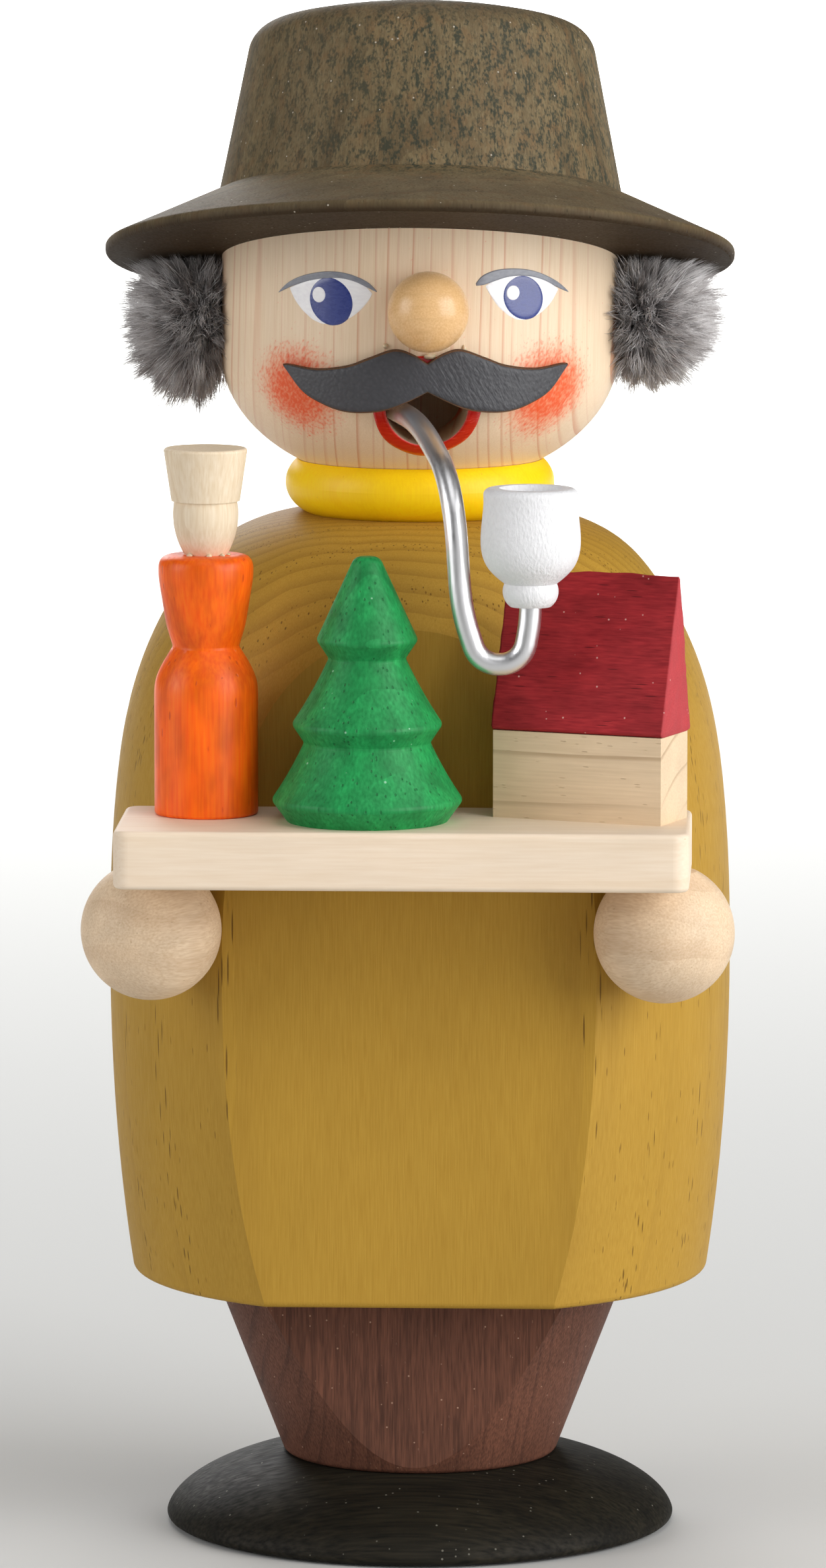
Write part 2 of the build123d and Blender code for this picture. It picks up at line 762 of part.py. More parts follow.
# Tree: each tier widens in a nearly straight slope and is undercut below
tree_section = tray_section(tree_across_share, tree_forward_on_tray)
tree_tiers = [
    (tree_radius * radius_share, tree_height * height_share)
    for radius_share, height_share in zip(tree_tier_radius_shares, tree_tier_height_shares)
]
tree_waists = [
    (tree_radius * radius_share, tree_height * height_share)
    for radius_share, height_share in zip(tree_waist_radius_shares, tree_waist_height_shares)
]
with BuildPart() as tree:
    with BuildSketch(tree_section):
        with BuildLine():
            Polyline((0, tree_height), (0, 0), (tree_foot_radius, 0), tree_tiers[0])
            for tier, waist, next_tier in zip(tree_tiers, tree_waists, tree_tiers[1:]):
                slope_middle = (
                    (tier[0] + waist[0]) / 2 - tree_slope_bow,
                    (tier[1] + waist[1]) / 2 - tree_slope_bow,
                )
                ThreePointArc(tier, slope_middle, waist)
                Line(waist, next_tier)
            Polyline(tree_tiers[-1], (tree_tip_radius, tree_height), (0, tree_height))
        make_face()
    revolve(axis=Axis(tree_section.origin, (0, 0, 1)))
    fillet(rings(tree, tree_tip_radius), radius=tree_tip_round)
    for tier in tree_tiers:
        fillet(rings(tree, tier[0]), radius=tree_edge_round)
    for waist in tree_waists:
        fillet(rings(tree, waist[0]), radius=tree_waist_round)
save(tree, "tree")

# House: the wall block stands square to a plane turned on the tray, and the roof prism sits on it
house_corner = Plane(
    origin=tray_place(house_across_share, house_forward_on_tray),
    x_dir=(cos(radians(house_turn)), sin(radians(house_turn)), 0),
    z_dir=(0, 0, 1),
)
with BuildPart() as house_walls:
    with BuildSketch(house_corner):
        Rectangle(house_length, house_depth, align=(Align.MIN, Align.MIN))
    extrude(amount=house_wall_height)
save(house_walls, "house_walls")

gable = Plane(
    origin=house_corner.from_local_coords(Vector(-roof_overhang, house_depth / 2, house_wall_height)),
    x_dir=house_corner.y_dir,
    z_dir=house_corner.x_dir,
)
with BuildPart() as house_roof:
    with BuildSketch(gable):
        with BuildLine():
            Polyline(
                (-house_depth / 2 - roof_overhang, 0),
                (house_depth / 2 + roof_overhang, 0),
                (house_depth * roof_ridge_share - house_depth / 2, roof_height),
                close=True,
            )
        make_face()
    extrude(amount=house_length + 2 * roof_overhang)
save(house_roof, "house_roof")

# Pipe stem: straight runs joined by arcs as large as the runs allow
wire_bends = []
for before, corner, after in zip(pipe_route, pipe_route[1:], pipe_route[2:]):
    turn = radians((corner - before).get_angle(after - corner))
    shorter_run = min((corner - before).length, (after - corner).length)
    wire_bends.append(wire_bend_share * shorter_run / tan(turn / 2))
with BuildPart() as pipe_stem:
    with BuildLine() as wire_line:
        FilletPolyline(*pipe_route, radius=wire_bends)
    with BuildSketch(Plane(origin=pipe_route[0], z_dir=wire_start_direction)):
        Circle(wire_radius)
    sweep(path=wire_line.wires()[0])
save(pipe_stem, "pipe_stem")

# Pipe bowl: foot bead, neck, full cup and a shallow hollow, bored below for the wire
bowl_section = Plane(origin=bowl_bottom, x_dir=(1, 0, 0), z_dir=(0, -1, 0))
bowl_cup = [
    (bowl_radius * radius_share, bowl_height * height_share)
    for radius_share, height_share in bowl_cup_shares
]
with BuildPart() as pipe_bowl:
    with BuildSketch(bowl_section):
        with BuildLine():
            Line((0, 0), (bowl_foot_radius, 0))
            ThreePointArc(
                (bowl_foot_radius, 0),
                (bowl_bead_radius, bowl_height * bowl_bead_height_share),
                (bowl_neck_radius, bowl_height * bowl_neck_height_share),
            )
            Spline(
                (bowl_neck_radius, bowl_height * bowl_neck_height_share),
                *bowl_cup,
                (bowl_rim_radius, bowl_height),
            )
            Polyline(
                (bowl_rim_radius, bowl_height),
                (bowl_hollow_radius, bowl_height),
                (bowl_hollow_radius - bowl_rim_round, bowl_height - bowl_hollow_depth),
                (0, bowl_height - bowl_hollow_depth),
                (0, 0),
            )
        make_face()
    revolve(axis=Axis(bowl_section.origin, (0, 0, 1)))
    fillet(pipe_bowl.edges().group_by(Axis.Z)[-1].sort_by(SortBy.RADIUS)[-1], radius=bowl_rim_round)
    with BuildSketch(Plane(origin=bowl_bottom)):
        Circle(wire_radius + glue_gap)
    extrude(amount=bowl_wire_depth + drill_end_gap, mode=Mode.SUBTRACT)
save(pipe_bowl, "pipe_bowl")

print("smallest bend of the wire's centre line, mm:", round(min(wire_bends), 2))
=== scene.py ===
from math import cos, pi, radians, sin

import bmesh
import bpy
import numpy as np
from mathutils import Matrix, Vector


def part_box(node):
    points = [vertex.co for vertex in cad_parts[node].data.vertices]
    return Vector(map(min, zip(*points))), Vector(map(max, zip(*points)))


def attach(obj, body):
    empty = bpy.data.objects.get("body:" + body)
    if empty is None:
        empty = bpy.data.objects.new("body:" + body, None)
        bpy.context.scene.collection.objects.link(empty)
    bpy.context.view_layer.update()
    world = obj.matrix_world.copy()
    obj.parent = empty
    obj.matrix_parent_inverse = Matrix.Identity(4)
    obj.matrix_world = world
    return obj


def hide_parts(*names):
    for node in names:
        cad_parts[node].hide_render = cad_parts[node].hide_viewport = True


# The looks of a turned wooden smoker, built round its solids and in their frame: metres, Z up from the table,
# the figure looking along -Y, the origin in the middle of the base's underside.
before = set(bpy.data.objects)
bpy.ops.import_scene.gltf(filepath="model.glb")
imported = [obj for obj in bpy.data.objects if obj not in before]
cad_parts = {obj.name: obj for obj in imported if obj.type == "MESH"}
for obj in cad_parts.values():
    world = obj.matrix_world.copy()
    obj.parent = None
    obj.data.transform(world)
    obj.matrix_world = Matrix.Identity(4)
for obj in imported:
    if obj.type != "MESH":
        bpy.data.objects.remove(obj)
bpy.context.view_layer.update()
mm = 0.001


# Base: a beech disc turned to a low dome, stained black-green, oiled and rubbed.
# It looks almost black, with dull streaks along the plank and a few pale specks where the stain didn't take.
def linear(code):
    """An sRGB hex colour as linear red, green, blue and alpha: c / 12.92 for a channel up to 0.04045,
    and ((c + 0.055) / 1.055) to the power 2.4 above that."""
    channels = np.array([int(code[place : place + 2], 16) for place in (1, 3, 5)]) / 255
    curved = np.where(channels <= 0.04045, channels / 12.92, ((channels + 0.055) / 1.055) ** 2.4)
    return (*curved.tolist(), 1.0)


def add_node(material, kind, inputs=None, output=0, **settings):
    """Adds a node, sets its own settings, links or fills its inputs, and returns one of its outputs."""
    node = material.node_tree.nodes.new(kind)
    for name, value in settings.items():
        setattr(node, name, value)
    for key, value in (inputs or {}).items():
        if isinstance(value, bpy.types.NodeSocket):
            material.node_tree.links.new(value, node.inputs[key])
        else:
            node.inputs[key].default_value = value
    return node.outputs[output]


def new_finish(name, constants):
    """A new material whose shader has these constants on its own sockets."""
    material = bpy.data.materials.new(name)
    material.use_nodes = True
    for socket, value in constants.items():
        material.node_tree.nodes["Principled BSDF"].inputs[socket].default_value = value
    return material


def feed(material, socket, value):
    """Links a pattern to one of the shader's sockets."""
    material.node_tree.links.new(value, material.node_tree.nodes["Principled BSDF"].inputs[socket])


def paint_over(material, share, code):
    """Lays a colour over what a material already shows, where share is 1."""
    shown = material.node_tree.nodes["Principled BSDF"].inputs["Base Color"].links[0].from_socket
    laid = {0: share, 6: shown, 7: linear(code)}
    feed(material, "Base Color", add_node(material, "ShaderNodeMix", laid, 2, data_type="RGBA"))


def plank_axes(material, pith, turn):
    """A point's place along the plank's own axes: from the pith line, which becomes the third axis."""
    place = add_node(material, "ShaderNodeTexCoord", output="Object")
    moved = {"Vector": place, "Location": pith, "Rotation": turn}
    return add_node(material, "ShaderNodeMapping", moved, vector_type="TEXTURE")


def drawn_noise(material, plank, width, length, detail=2.0, depth=None):
    """Noise whose patches are width across the fibres, depth towards the plank's face (as wide, if it isn't
    given) and length along them."""
    scaled = {0: plank, 1: (1 / width, 1 / (depth or width), 1 / length)}
    stretched = add_node(material, "ShaderNodeVectorMath", scaled, operation="MULTIPLY")
    return add_node(material, "ShaderNodeTexNoise", {"Vector": stretched, "Scale": 1.0, "Detail": detail})


def growth_rings(material, plank, ring, wander, drift_size):
    """How far a point is through its growth ring, from 0 to 1: its distance from the pith, shifted by slow
    noise, counted in ring widths, without the whole part."""
    across = add_node(material, "ShaderNodeVectorMath", {0: plank, 1: (1, 1, 0)}, operation="MULTIPLY")
    radius = add_node(material, "ShaderNodeVectorMath", {0: across}, "Value", operation="LENGTH")
    drift = drawn_noise(material, plank, drift_size[0], drift_size[1], 1.0, drift_size[2])
    shifted = {0: drift, 1: wander, 2: radius}
    place = add_node(material, "ShaderNodeMath", shifted, operation="MULTIPLY_ADD")
    count = add_node(material, "ShaderNodeMath", {0: place, 1: ring}, operation="DIVIDE")
    return add_node(material, "ShaderNodeMath", {0: count}, operation="FRACT")


def open_pores(material, plank, phase, cell, length, reach, dense, sparse, zone):
    """Pores cut open along the fibres: one dark dash in some cells of a stretched cell pattern. The share of
    cells that have one is dense in the first zone of each growth ring and sparse in the rest."""
    scaled = {0: plank, 1: (1 / cell, 1 / cell, 1 / length)}
    stretched = add_node(material, "ShaderNodeVectorMath", scaled, operation="MULTIPLY")
    node = add_node(material, "ShaderNodeTexVoronoi", {"Vector": stretched, "Scale": 1.0}).node
    near = {"Value": node.outputs["Distance"], "From Min": reach, "From Max": 0.6 * reach}
    dash = add_node(material, "ShaderNodeMapRange", near)
    chance = add_node(material, "ShaderNodeSeparateXYZ", {0: node.outputs["Color"]})
    early = {"Value": phase, "From Min": zone, "From Max": 0.8 * zone, "To Min": sparse, "To Max": dense}
    share = add_node(material, "ShaderNodeMapRange", early)
    chosen = add_node(material, "ShaderNodeMath", {0: chance, 1: share}, operation="LESS_THAN")
    return add_node(material, "ShaderNodeMath", {0: dash, 1: chosen}, operation="MULTIPLY")


def dust(material, cell, share, code):
    """Pale specks caught in a stained surface: dots of a fifth of a cell, in a share of the cells."""
    axes = plank_axes(material, (0, 0, 0), (0, 0, 0))
    paint_over(material, open_pores(material, axes, 0.0, cell, cell, 0.2, share, share, 0.5), code)


def wood(
    name,
    pale,
    dark,
    ring_line,
    pore,
    pith=(0, 0, 0),
    turn=(0, 0, 0),
    ring=3 * mm,
    wander=1.5 * mm,
    drift_size=(9 * mm, 36 * mm, 9 * mm),
    line_share=0.35,
    line_strength=0.5,
    streak=(0.25 * mm, 6 * mm),
    patch=(5 * mm, 9 * mm),
    patch_strength=0.12,
    pores=(0.5 * mm, 3.0 * mm, 0.22, 0.5, 0.08, 0.3),
    pore_strength=0.8,
    gloss=(0.5, 0.62),
    relief=0.05 * mm,
    constants=None,
):
    """A wood with its stain: fibres between two colours, a line at the end of each growth ring that is
    stronger in some years, open pores, slow patches in the stain, and pores and fibres sunk by relief. Real
    fibres are about 0.03 mm wide, too fine to show, so a streak stands for a bundle and is drawn coarser.
    The six numbers of pores are those that open_pores ends with."""
    material = new_finish(name, {"IOR": 1.5, "Specular IOR Level": 0.3, **(constants or {})})
    plank = plank_axes(material, pith, turn)
    fibres = drawn_noise(material, plank, *streak, 3.0)
    spread = add_node(material, "ShaderNodeMapRange", {"Value": fibres, "From Min": 0.3, "From Max": 0.7})
    shades = {0: spread, 6: linear(pale), 7: linear(dark)}
    colour = add_node(material, "ShaderNodeMix", shades, 2, data_type="RGBA")
    phase = growth_rings(material, plank, ring, wander, drift_size)
    late = {"Value": phase, "From Min": 1 - line_share, "From Max": 0.97, "To Max": line_strength}
    line = add_node(material, "ShaderNodeMapRange", late, interpolation_type="SMOOTHSTEP")
    seasons = drawn_noise(material, plank, 1.2 * ring, drift_size[1], 1.0, drift_size[2])
    grown = {"Value": seasons, "From Min": 0.4, "From Max": 0.6, "To Min": 0.12}
    strength = add_node(material, "ShaderNodeMapRange", grown)
    line = add_node(material, "ShaderNodeMath", {0: line, 1: strength}, operation="MULTIPLY")
    ringed = {0: line, 6: colour, 7: linear(ring_line)}
    colour = add_node(material, "ShaderNodeMix", ringed, 2, data_type="RGBA")
    dashes = open_pores(material, plank, phase, *pores)
    filled = add_node(material, "ShaderNodeMath", {0: dashes, 1: pore_strength}, operation="MULTIPLY")
    colour = add_node(
        material, "ShaderNodeMix", {0: filled, 6: colour, 7: linear(pore)}, 2, data_type="RGBA"
    )
    slow = drawn_noise(material, plank, *patch, 2.0)
    swing = {"Value": slow, "From Min": 0.3, "From Max": 0.7}
    swing |= {"To Min": 1 - patch_strength, "To Max": 1 + patch_strength}
    level = add_node(material, "ShaderNodeMapRange", swing)
    colour = add_node(
        material, "ShaderNodeMix", {0: 1.0, 6: colour, 7: level}, 2, data_type="RGBA", blend_type="MULTIPLY"
    )
    feed(material, "Base Color", colour)
    dulled = {"Value": fibres, "From Min": 0.3, "From Max": 0.7, "To Min": gloss[0], "To Max": gloss[1]}
    feed(material, "Roughness", add_node(material, "ShaderNodeMapRange", dulled))
    furrows = add_node(material, "ShaderNodeMath", {0: fibres, 1: 0.35}, operation="MULTIPLY")
    sunk = {0: dashes, 1: -1.0, 2: furrows}
    height = add_node(material, "ShaderNodeMath", sunk, operation="MULTIPLY_ADD")
    raised = {"Height": height, "Strength": 1.0, "Distance": relief}
    feed(material, "Normal", add_node(material, "ShaderNodeBump", raised))
    return material


def dress(material, *names):
    """Gives solids a finish in place of the plain colour that they come with."""
    for name in names:
        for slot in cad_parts[name].material_slots:
            slot.material = material


base_stain = wood(
    "beech_black_green_stain",
    pale="#27231a",
    dark="#100f0a",
    ring_line="#0b0a07",
    pore="#48453a",
    pith=(0, 40 * mm, -50 * mm),
    turn=(0, radians(90), 0),
    ring=4 * mm,
    streak=(0.35 * mm, 9 * mm),
    patch=(3 * mm, 12 * mm),
    patch_strength=0.3,
    pores=(0.9 * mm, 1.1 * mm, 0.12, 0.12, 0.08, 0.5),
    pore_strength=0.7,
    gloss=(0.56, 0.72),
    relief=0.02 * mm,
    constants={"Specular IOR Level": 0.16},
)
dust(base_stain, 0.6 * mm, 0.1, "#6d6a60")
dress(base_stain, "base")


# Legs: turned as one cone with its tenon and spigot, sanded flat in front, stained red-brown.
# The plank's fibres stand upright, so the facet shows close dark lines and the cone pale dust in the pores.
legs_stain = wood(
    "beech_red_brown_stain",
    pale="#744937",
    dark="#523225",
    ring_line="#351e16",
    pore="#87604c",
    pith=(140 * mm, 30 * mm, 0),
    ring=1.15 * mm,
    wander=2.2 * mm,
    line_share=0.45,
    line_strength=0.42,
    streak=(0.14 * mm, 2.5 * mm),
    patch=(4 * mm, 8 * mm),
    patch_strength=0.14,
    pores=(0.4 * mm, 1.1 * mm, 0.16, 0.14, 0.1, 0.5),
    pore_strength=0.6,
    gloss=(0.55, 0.7),
    relief=0.04 * mm,
)
dust(legs_stain, 0.5 * mm, 0.07, "#a9856f")
dress(legs_stain, "legs")


# Burner: a dish pressed from aluminium sheet and one round-headed brass tack, hidden inside the robe.
# The pressed sheet is dull with a fine grain, and the tack's head is polished.
dish_metal = new_finish("pressed_aluminium", {"Metallic": 1.0, "Base Color": linear("#b9b9b4")})
dish_place = plank_axes(dish_metal, (0, 0, 0), (0, 0, 0))
dish_grain = drawn_noise(dish_metal, dish_place, 0.2 * mm, 0.2 * mm)
dish_dull = {"Value": dish_grain, "To Min": 0.35, "To Max": 0.6}
feed(dish_metal, "Roughness", add_node(dish_metal, "ShaderNodeMapRange", dish_dull))
dress(dish_metal, "burner_plate")
tack_metal = new_finish("polished_brass", {"Metallic": 1.0, "Base Color": linear("#b79a52")})
tack_place = plank_axes(tack_metal, (0, 0, 0), (0, 0, 0))
tack_grain = drawn_noise(tack_metal, tack_place, 0.3 * mm, 0.3 * mm)
tack_dull = {"Value": tack_grain, "To Min": 0.18, "To Max": 0.35}
feed(tack_metal, "Roughness", add_node(tack_metal, "ShaderNodeMapRange", tack_dull))
dress(tack_metal, "burner_tack")


# Robe: a hollow ash turning, sanded flat in front and stained mustard. Ash pores come in bands, one to a
# ring. The pith lies behind the figure, so the facet stays plain, bands of pores lie beside its edges, and
# the shoulder shows the rings as fine arcs.
robe_pith = 43.5 * mm
robe_facet = 23.0 * mm
robe_stain = wood(
    "ash_mustard_stain",
    pale="#b79039",
    dark="#ac8430",
    ring_line="#96702a",
    pore="#5f3f12",
    pith=(0, robe_pith, 0),
    ring=4.3 * mm,
    wander=1.2 * mm,
    drift_size=(7 * mm, 22 * mm, 7 * mm),
    line_share=0.22,
    line_strength=0.22,
    streak=(0.12 * mm, 3.5 * mm),
    patch=(9 * mm, 20 * mm),
    patch_strength=0.04,
    pores=(0.32 * mm, 6.5 * mm, 0.27, 0.85, 0.0, 0.26),
    pore_strength=0.75,
    gloss=(0.5, 0.6),
    relief=0.05 * mm,
    constants={"Specular IOR Level": 0.16},
)
robe_plank = plank_axes(robe_stain, (3 * mm, robe_pith, 5 * mm), (0, 0, 0))
robe_phase = growth_rings(robe_stain, robe_plank, 2.15 * mm, 1.6 * mm, (5 * mm, 16 * mm, 5 * mm))
short_pores = open_pores(
    robe_stain,
    robe_plank,
    robe_phase,
    cell=0.36 * mm,
    length=2.1 * mm,
    reach=0.24,
    dense=0.34,
    sparse=0.03,
    zone=0.4,
)
robe_axes = add_node(robe_stain, "ShaderNodeSeparateXYZ", {0: robe_plank}).node
facet_skin = 0.2 * mm - robe_pith - robe_facet
behind = {"Value": robe_axes.outputs[1], "From Min": facet_skin, "From Max": facet_skin + 0.7 * mm}
off_facet = add_node(robe_stain, "ShaderNodeMapRange", behind | {"To Max": 0.62})
pore_share = add_node(robe_stain, "ShaderNodeMath", {0: short_pores, 1: off_facet}, operation="MULTIPLY")
paint_over(robe_stain, pore_share, "#6d4a17")
risen = {"Value": robe_axes.outputs[2], "From Min": 68 * mm, "From Max": 82 * mm, "To Max": 0.42}
shoulder = add_node(robe_stain, "ShaderNodeMapRange", risen)
year = growth_rings(robe_stain, robe_plank, 1.25 * mm, 1.2 * mm, (6 * mm, 16 * mm, 6 * mm))
year_end = add_node(robe_stain, "ShaderNodeMapRange", {"Value": year, "From Min": 0.45, "From Max": 0.95})
arcs = add_node(robe_stain, "ShaderNodeMath", {0: year_end, 1: shoulder}, operation="MULTIPLY")
paint_over(robe_stain, arcs, "#8a6322")
dress(robe_stain, "robe")


# Collar: a turned beech ring, painted yellow and left satin, glued between robe and head.
# The brush left faint lines down its section, where the yellow is a little deeper.
collar_paint = wood(
    "beech_yellow_paint",
    pale="#ffd60a",
    dark="#fbcd04",
    ring_line="#f4bd00",
    pore="#d9a000",
    pith=(10 * mm, 60 * mm, 0),
    ring=2.6 * mm,
    line_share=0.3,
    line_strength=0.35,
    streak=(0.18 * mm, 7 * mm),
    patch_strength=0.04,
    pores=(0.5 * mm, 1.2 * mm, 0.14, 0.1, 0.03, 0.4),
    pore_strength=0.5,
    gloss=(0.4, 0.48),
    relief=0.012 * mm,
)
dress(collar_paint, "collar")


# Head: a barrel of pine or lime with a rounded chin, left bare and waxed.
# Its year rings cross the face as fine red-brown upright lines, and both cheeks are dabbed with red stain.
head_wood = wood(
    "bare_softwood",
    pale="#f3dbbe",
    dark="#ebd1b0",
    ring_line="#d08a66",
    pore="#cfa97c",
    pith=(230 * mm, -12 * mm, 0),
    turn=(0, radians(1.2), 0),
    ring=1.05 * mm,
    wander=2.6 * mm,
    drift_size=(2.3 * mm, 90 * mm, 90 * mm),
    line_share=0.34,
    line_strength=0.6,
    streak=(0.12 * mm, 5 * mm),
    patch=(6 * mm, 14 * mm),
    patch_strength=0.04,
    pores=(0.45 * mm, 2.0 * mm, 0.1, 0.05, 0.02, 0.5),
    pore_strength=0.35,
    gloss=(0.42, 0.52),
    relief=0.02 * mm,
)
blush_place = add_node(head_wood, "ShaderNodeTexCoord", output="Object")
blush_axes = add_node(head_wood, "ShaderNodeSeparateXYZ", {0: blush_place}).node
blush_forward = add_node(
    head_wood, "ShaderNodeMath", {0: blush_axes.outputs[1], 1: -1.0}, operation="MULTIPLY"
)
blush_bearing = add_node(
    head_wood, "ShaderNodeMath", {0: blush_axes.outputs[0], 1: blush_forward}, operation="ARCTAN2"
)
blush_slant = plank_axes(head_wood, (0, 0, 0), (0, radians(38), 0))
blush_dabs = drawn_noise(head_wood, blush_slant, 0.26 * mm, 0.46 * mm, 4.0)
for blush_centre, blush_half_width, blush_height, blush_half_height in (
    (radians(-36.0), radians(17.0), 106.0 * mm, 4.7 * mm),
    (radians(43.0), radians(18.0), 105.8 * mm, 4.9 * mm),
):
    aside = {0: blush_bearing, 1: blush_centre}
    above = {0: blush_axes.outputs[2], 1: blush_height}
    across = add_node(head_wood, "ShaderNodeMath", aside, operation="SUBTRACT")
    across = add_node(head_wood, "ShaderNodeMath", {0: across, 1: blush_half_width}, operation="DIVIDE")
    up = add_node(head_wood, "ShaderNodeMath", above, operation="SUBTRACT")
    up = add_node(head_wood, "ShaderNodeMath", {0: up, 1: blush_half_height}, operation="DIVIDE")
    dab_place = add_node(head_wood, "ShaderNodeCombineXYZ", {0: across, 1: up})
    reach = add_node(head_wood, "ShaderNodeVectorMath", {0: dab_place}, "Value", operation="LENGTH")
    tint = {"Value": reach, "From Min": 1.1, "From Max": 0.3, "To Max": 0.66}
    haze = add_node(head_wood, "ShaderNodeMapRange", tint, interpolation_type="SMOOTHSTEP")
    paint_over(head_wood, haze, "#f2681a")
    cover = {"Value": reach, "From Min": 0.35, "From Max": 1.3, "To Min": 0.66, "To Max": 0.2}
    threshold = add_node(head_wood, "ShaderNodeMapRange", cover)
    wet = add_node(head_wood, "ShaderNodeMath", {0: threshold, 1: blush_dabs}, operation="SUBTRACT")
    soft = {"Value": wet, "From Min": -0.1, "From Max": 0.22, "To Max": 0.8}
    paint_over(head_wood, add_node(head_wood, "ShaderNodeMapRange", soft), "#ec4a06")
dress(head_wood, "head")


# Eyes: four coats of gloss paint, one over the other: white, iris, glint and lid. Each is a thin film of its
# own on the barrel, with edges that run down into the wood.
head_radius = 18.1 * mm
crown_radius = 18.0 * mm
crown_rise = 14.5 * mm
equator = 108.02 * mm
chin_depth = 12.1 * mm
paint_coat = 0.03 * mm
paint_rim = 0.02 * mm
paint_root = 0.06 * mm


def on_head(bearing, height, lift):
    """Points of the head by bearing from the front, height and lift off the wood. The head's radius is an
    ellipse's below the equator, and shrinks with the square of the rise above it."""
    below = np.clip((equator - height) / chin_depth, 0, 1)
    above = np.clip((height - equator) / crown_rise, 0, None)
    radius = head_radius * np.sqrt(1 - below**2) - (head_radius - crown_radius) * above**2 + lift
    return np.stack((radius * np.sin(bearing), -radius * np.cos(bearing), height + 0 * radius), axis=-1)


def surface(name, points, material, body, close_rows=False, close_columns=False):
    """A mesh over a grid of points: four neighbours make a face, and a closed side joins the last to the
    first. Points that fall together, as at a pole, are merged, and the faces are turned outwards."""
    rows, columns = points.shape[:2]
    index = np.arange(rows * columns).reshape(rows, columns)
    index = np.vstack((index, index[:1])) if close_rows else index
    index = np.hstack((index, index[:, :1])) if close_columns else index
    faces = np.stack((index[:-1, :-1], index[1:, :-1], index[1:, 1:], index[:-1, 1:]), axis=-1)
    mesh = bpy.data.meshes.new(name)
    mesh.from_pydata(points.reshape(-1, 3).tolist(), [], faces.reshape(-1, 4).tolist())
    shape = bmesh.new()
    shape.from_mesh(mesh)
    bmesh.ops.remove_doubles(shape, verts=shape.verts, dist=0.001 * mm)
    bmesh.ops.holes_fill(shape, edges=shape.edges)
    bmesh.ops.recalc_face_normals(shape, faces=shape.faces)
    shape.to_mesh(mesh)
    shape.free()
    mesh.shade_smooth()
    mesh.materials.append(material)
    piece = bpy.data.objects.new(name, mesh)
    bpy.context.scene.collection.objects.link(piece)
    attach(piece, body)
    return piece


def through(knots, count):
    """A smooth line through knots: on each span a cubic whose end slopes follow the neighbours' chord."""
    knots = np.asarray(knots, float)
    before = np.vstack((2 * knots[0] - knots[1], knots[:-1]))
    after = np.vstack((knots[1:], 2 * knots[-1] - knots[-2]))
    slopes = (after - before) / 2
    place = np.linspace(0, len(knots) - 1, count)
    span = np.minimum(place.astype(int), len(knots) - 2)
    t = (place - span)[:, None]
    start = (2 * t**3 - 3 * t**2 + 1) * knots[span] + (t**3 - 2 * t**2 + t) * slopes[span]
    return start + (3 * t**2 - 2 * t**3) * knots[span + 1] + (t**3 - t**2) * slopes[span + 1]


def gloss_paint(name, code, roughness, streak_code):
    """A brushed coat of gloss paint: one colour with faint strokes of another, and soft waves in its skin."""
    material = new_finish(name, {"IOR": 1.5, "Coat Weight": 0.35, "Coat Roughness": 0.12})
    axes = plank_axes(material, (0, 0, 0), (0, radians(90), 0))
    strokes = drawn_noise(material, axes, 0.25 * mm, 2.2 * mm)
    faint = add_node(material, "ShaderNodeMapRange", {"Value": strokes, "From Min": 0.35, "From Max": 0.7})
    tint = {0: faint, 6: linear(code), 7: linear(streak_code)}
    feed(material, "Base Color", add_node(material, "ShaderNodeMix", tint, 2, data_type="RGBA"))
    shine = {"Value": strokes, "To Min": roughness, "To Max": roughness + 0.15}
    feed(material, "Roughness", add_node(material, "ShaderNodeMapRange", shine))
    waves = {"Height": strokes, "Strength": 0.5, "Distance": 0.006 * mm}
    feed(material, "Normal", add_node(material, "ShaderNodeBump", waves))
    return material


def film(name, low, high, lift, material):
    """A coat of paint between two lines of bearing and height on the head: full thickness inside, falling to
    the wood with a high power of the place towards its rim, closed by a back that lies in the wood."""
    columns, rows = 64, 18
    low, high = through(low, columns), through(high, columns)
    v = 0.5 - 0.5 * np.cos(np.linspace(0, pi, rows))
    line = low[:, None] * (1 - v[:, None]) + high[:, None] * v[:, None]
    u = np.linspace(-1, 1, columns)[:, None]
    full = (1 - u**24) * (1 - (2 * v - 1) ** 16)
    front = on_head(np.radians(line[..., 0]), line[..., 1] * mm, (lift + paint_rim) * full - paint_rim)
    back = on_head(np.radians(line[..., 0]), line[..., 1] * mm, -paint_root + 0 * full)
    return surface(name, np.hstack((front, back[:, ::-1])), material, "figure", close_columns=True)


def spot(name, bearing, height, half_width, half_height, lift, material, lean=0.0):
    """A round coat of paint on the head: rings from the middle to the rim of an ellipse, then back inside."""
    angle = np.linspace(0, 2 * pi, 56, endpoint=False)[:, None]
    share = 1 - np.linspace(1, 0, 12)[None, :] ** 2
    across, up = 1.04 * half_width * share * np.cos(angle), 1.04 * half_height * share * np.sin(angle)
    bearings = np.radians(bearing + across + lean * up)
    heights = (height + up) * mm
    front = on_head(bearings, heights, (lift + paint_rim) * (1 - share**24) - paint_rim)
    back = on_head(bearings, heights, -paint_root + 0 * share)
    return surface(name, np.hstack((front, back[:, ::-1])), material, "figure", close_rows=True)


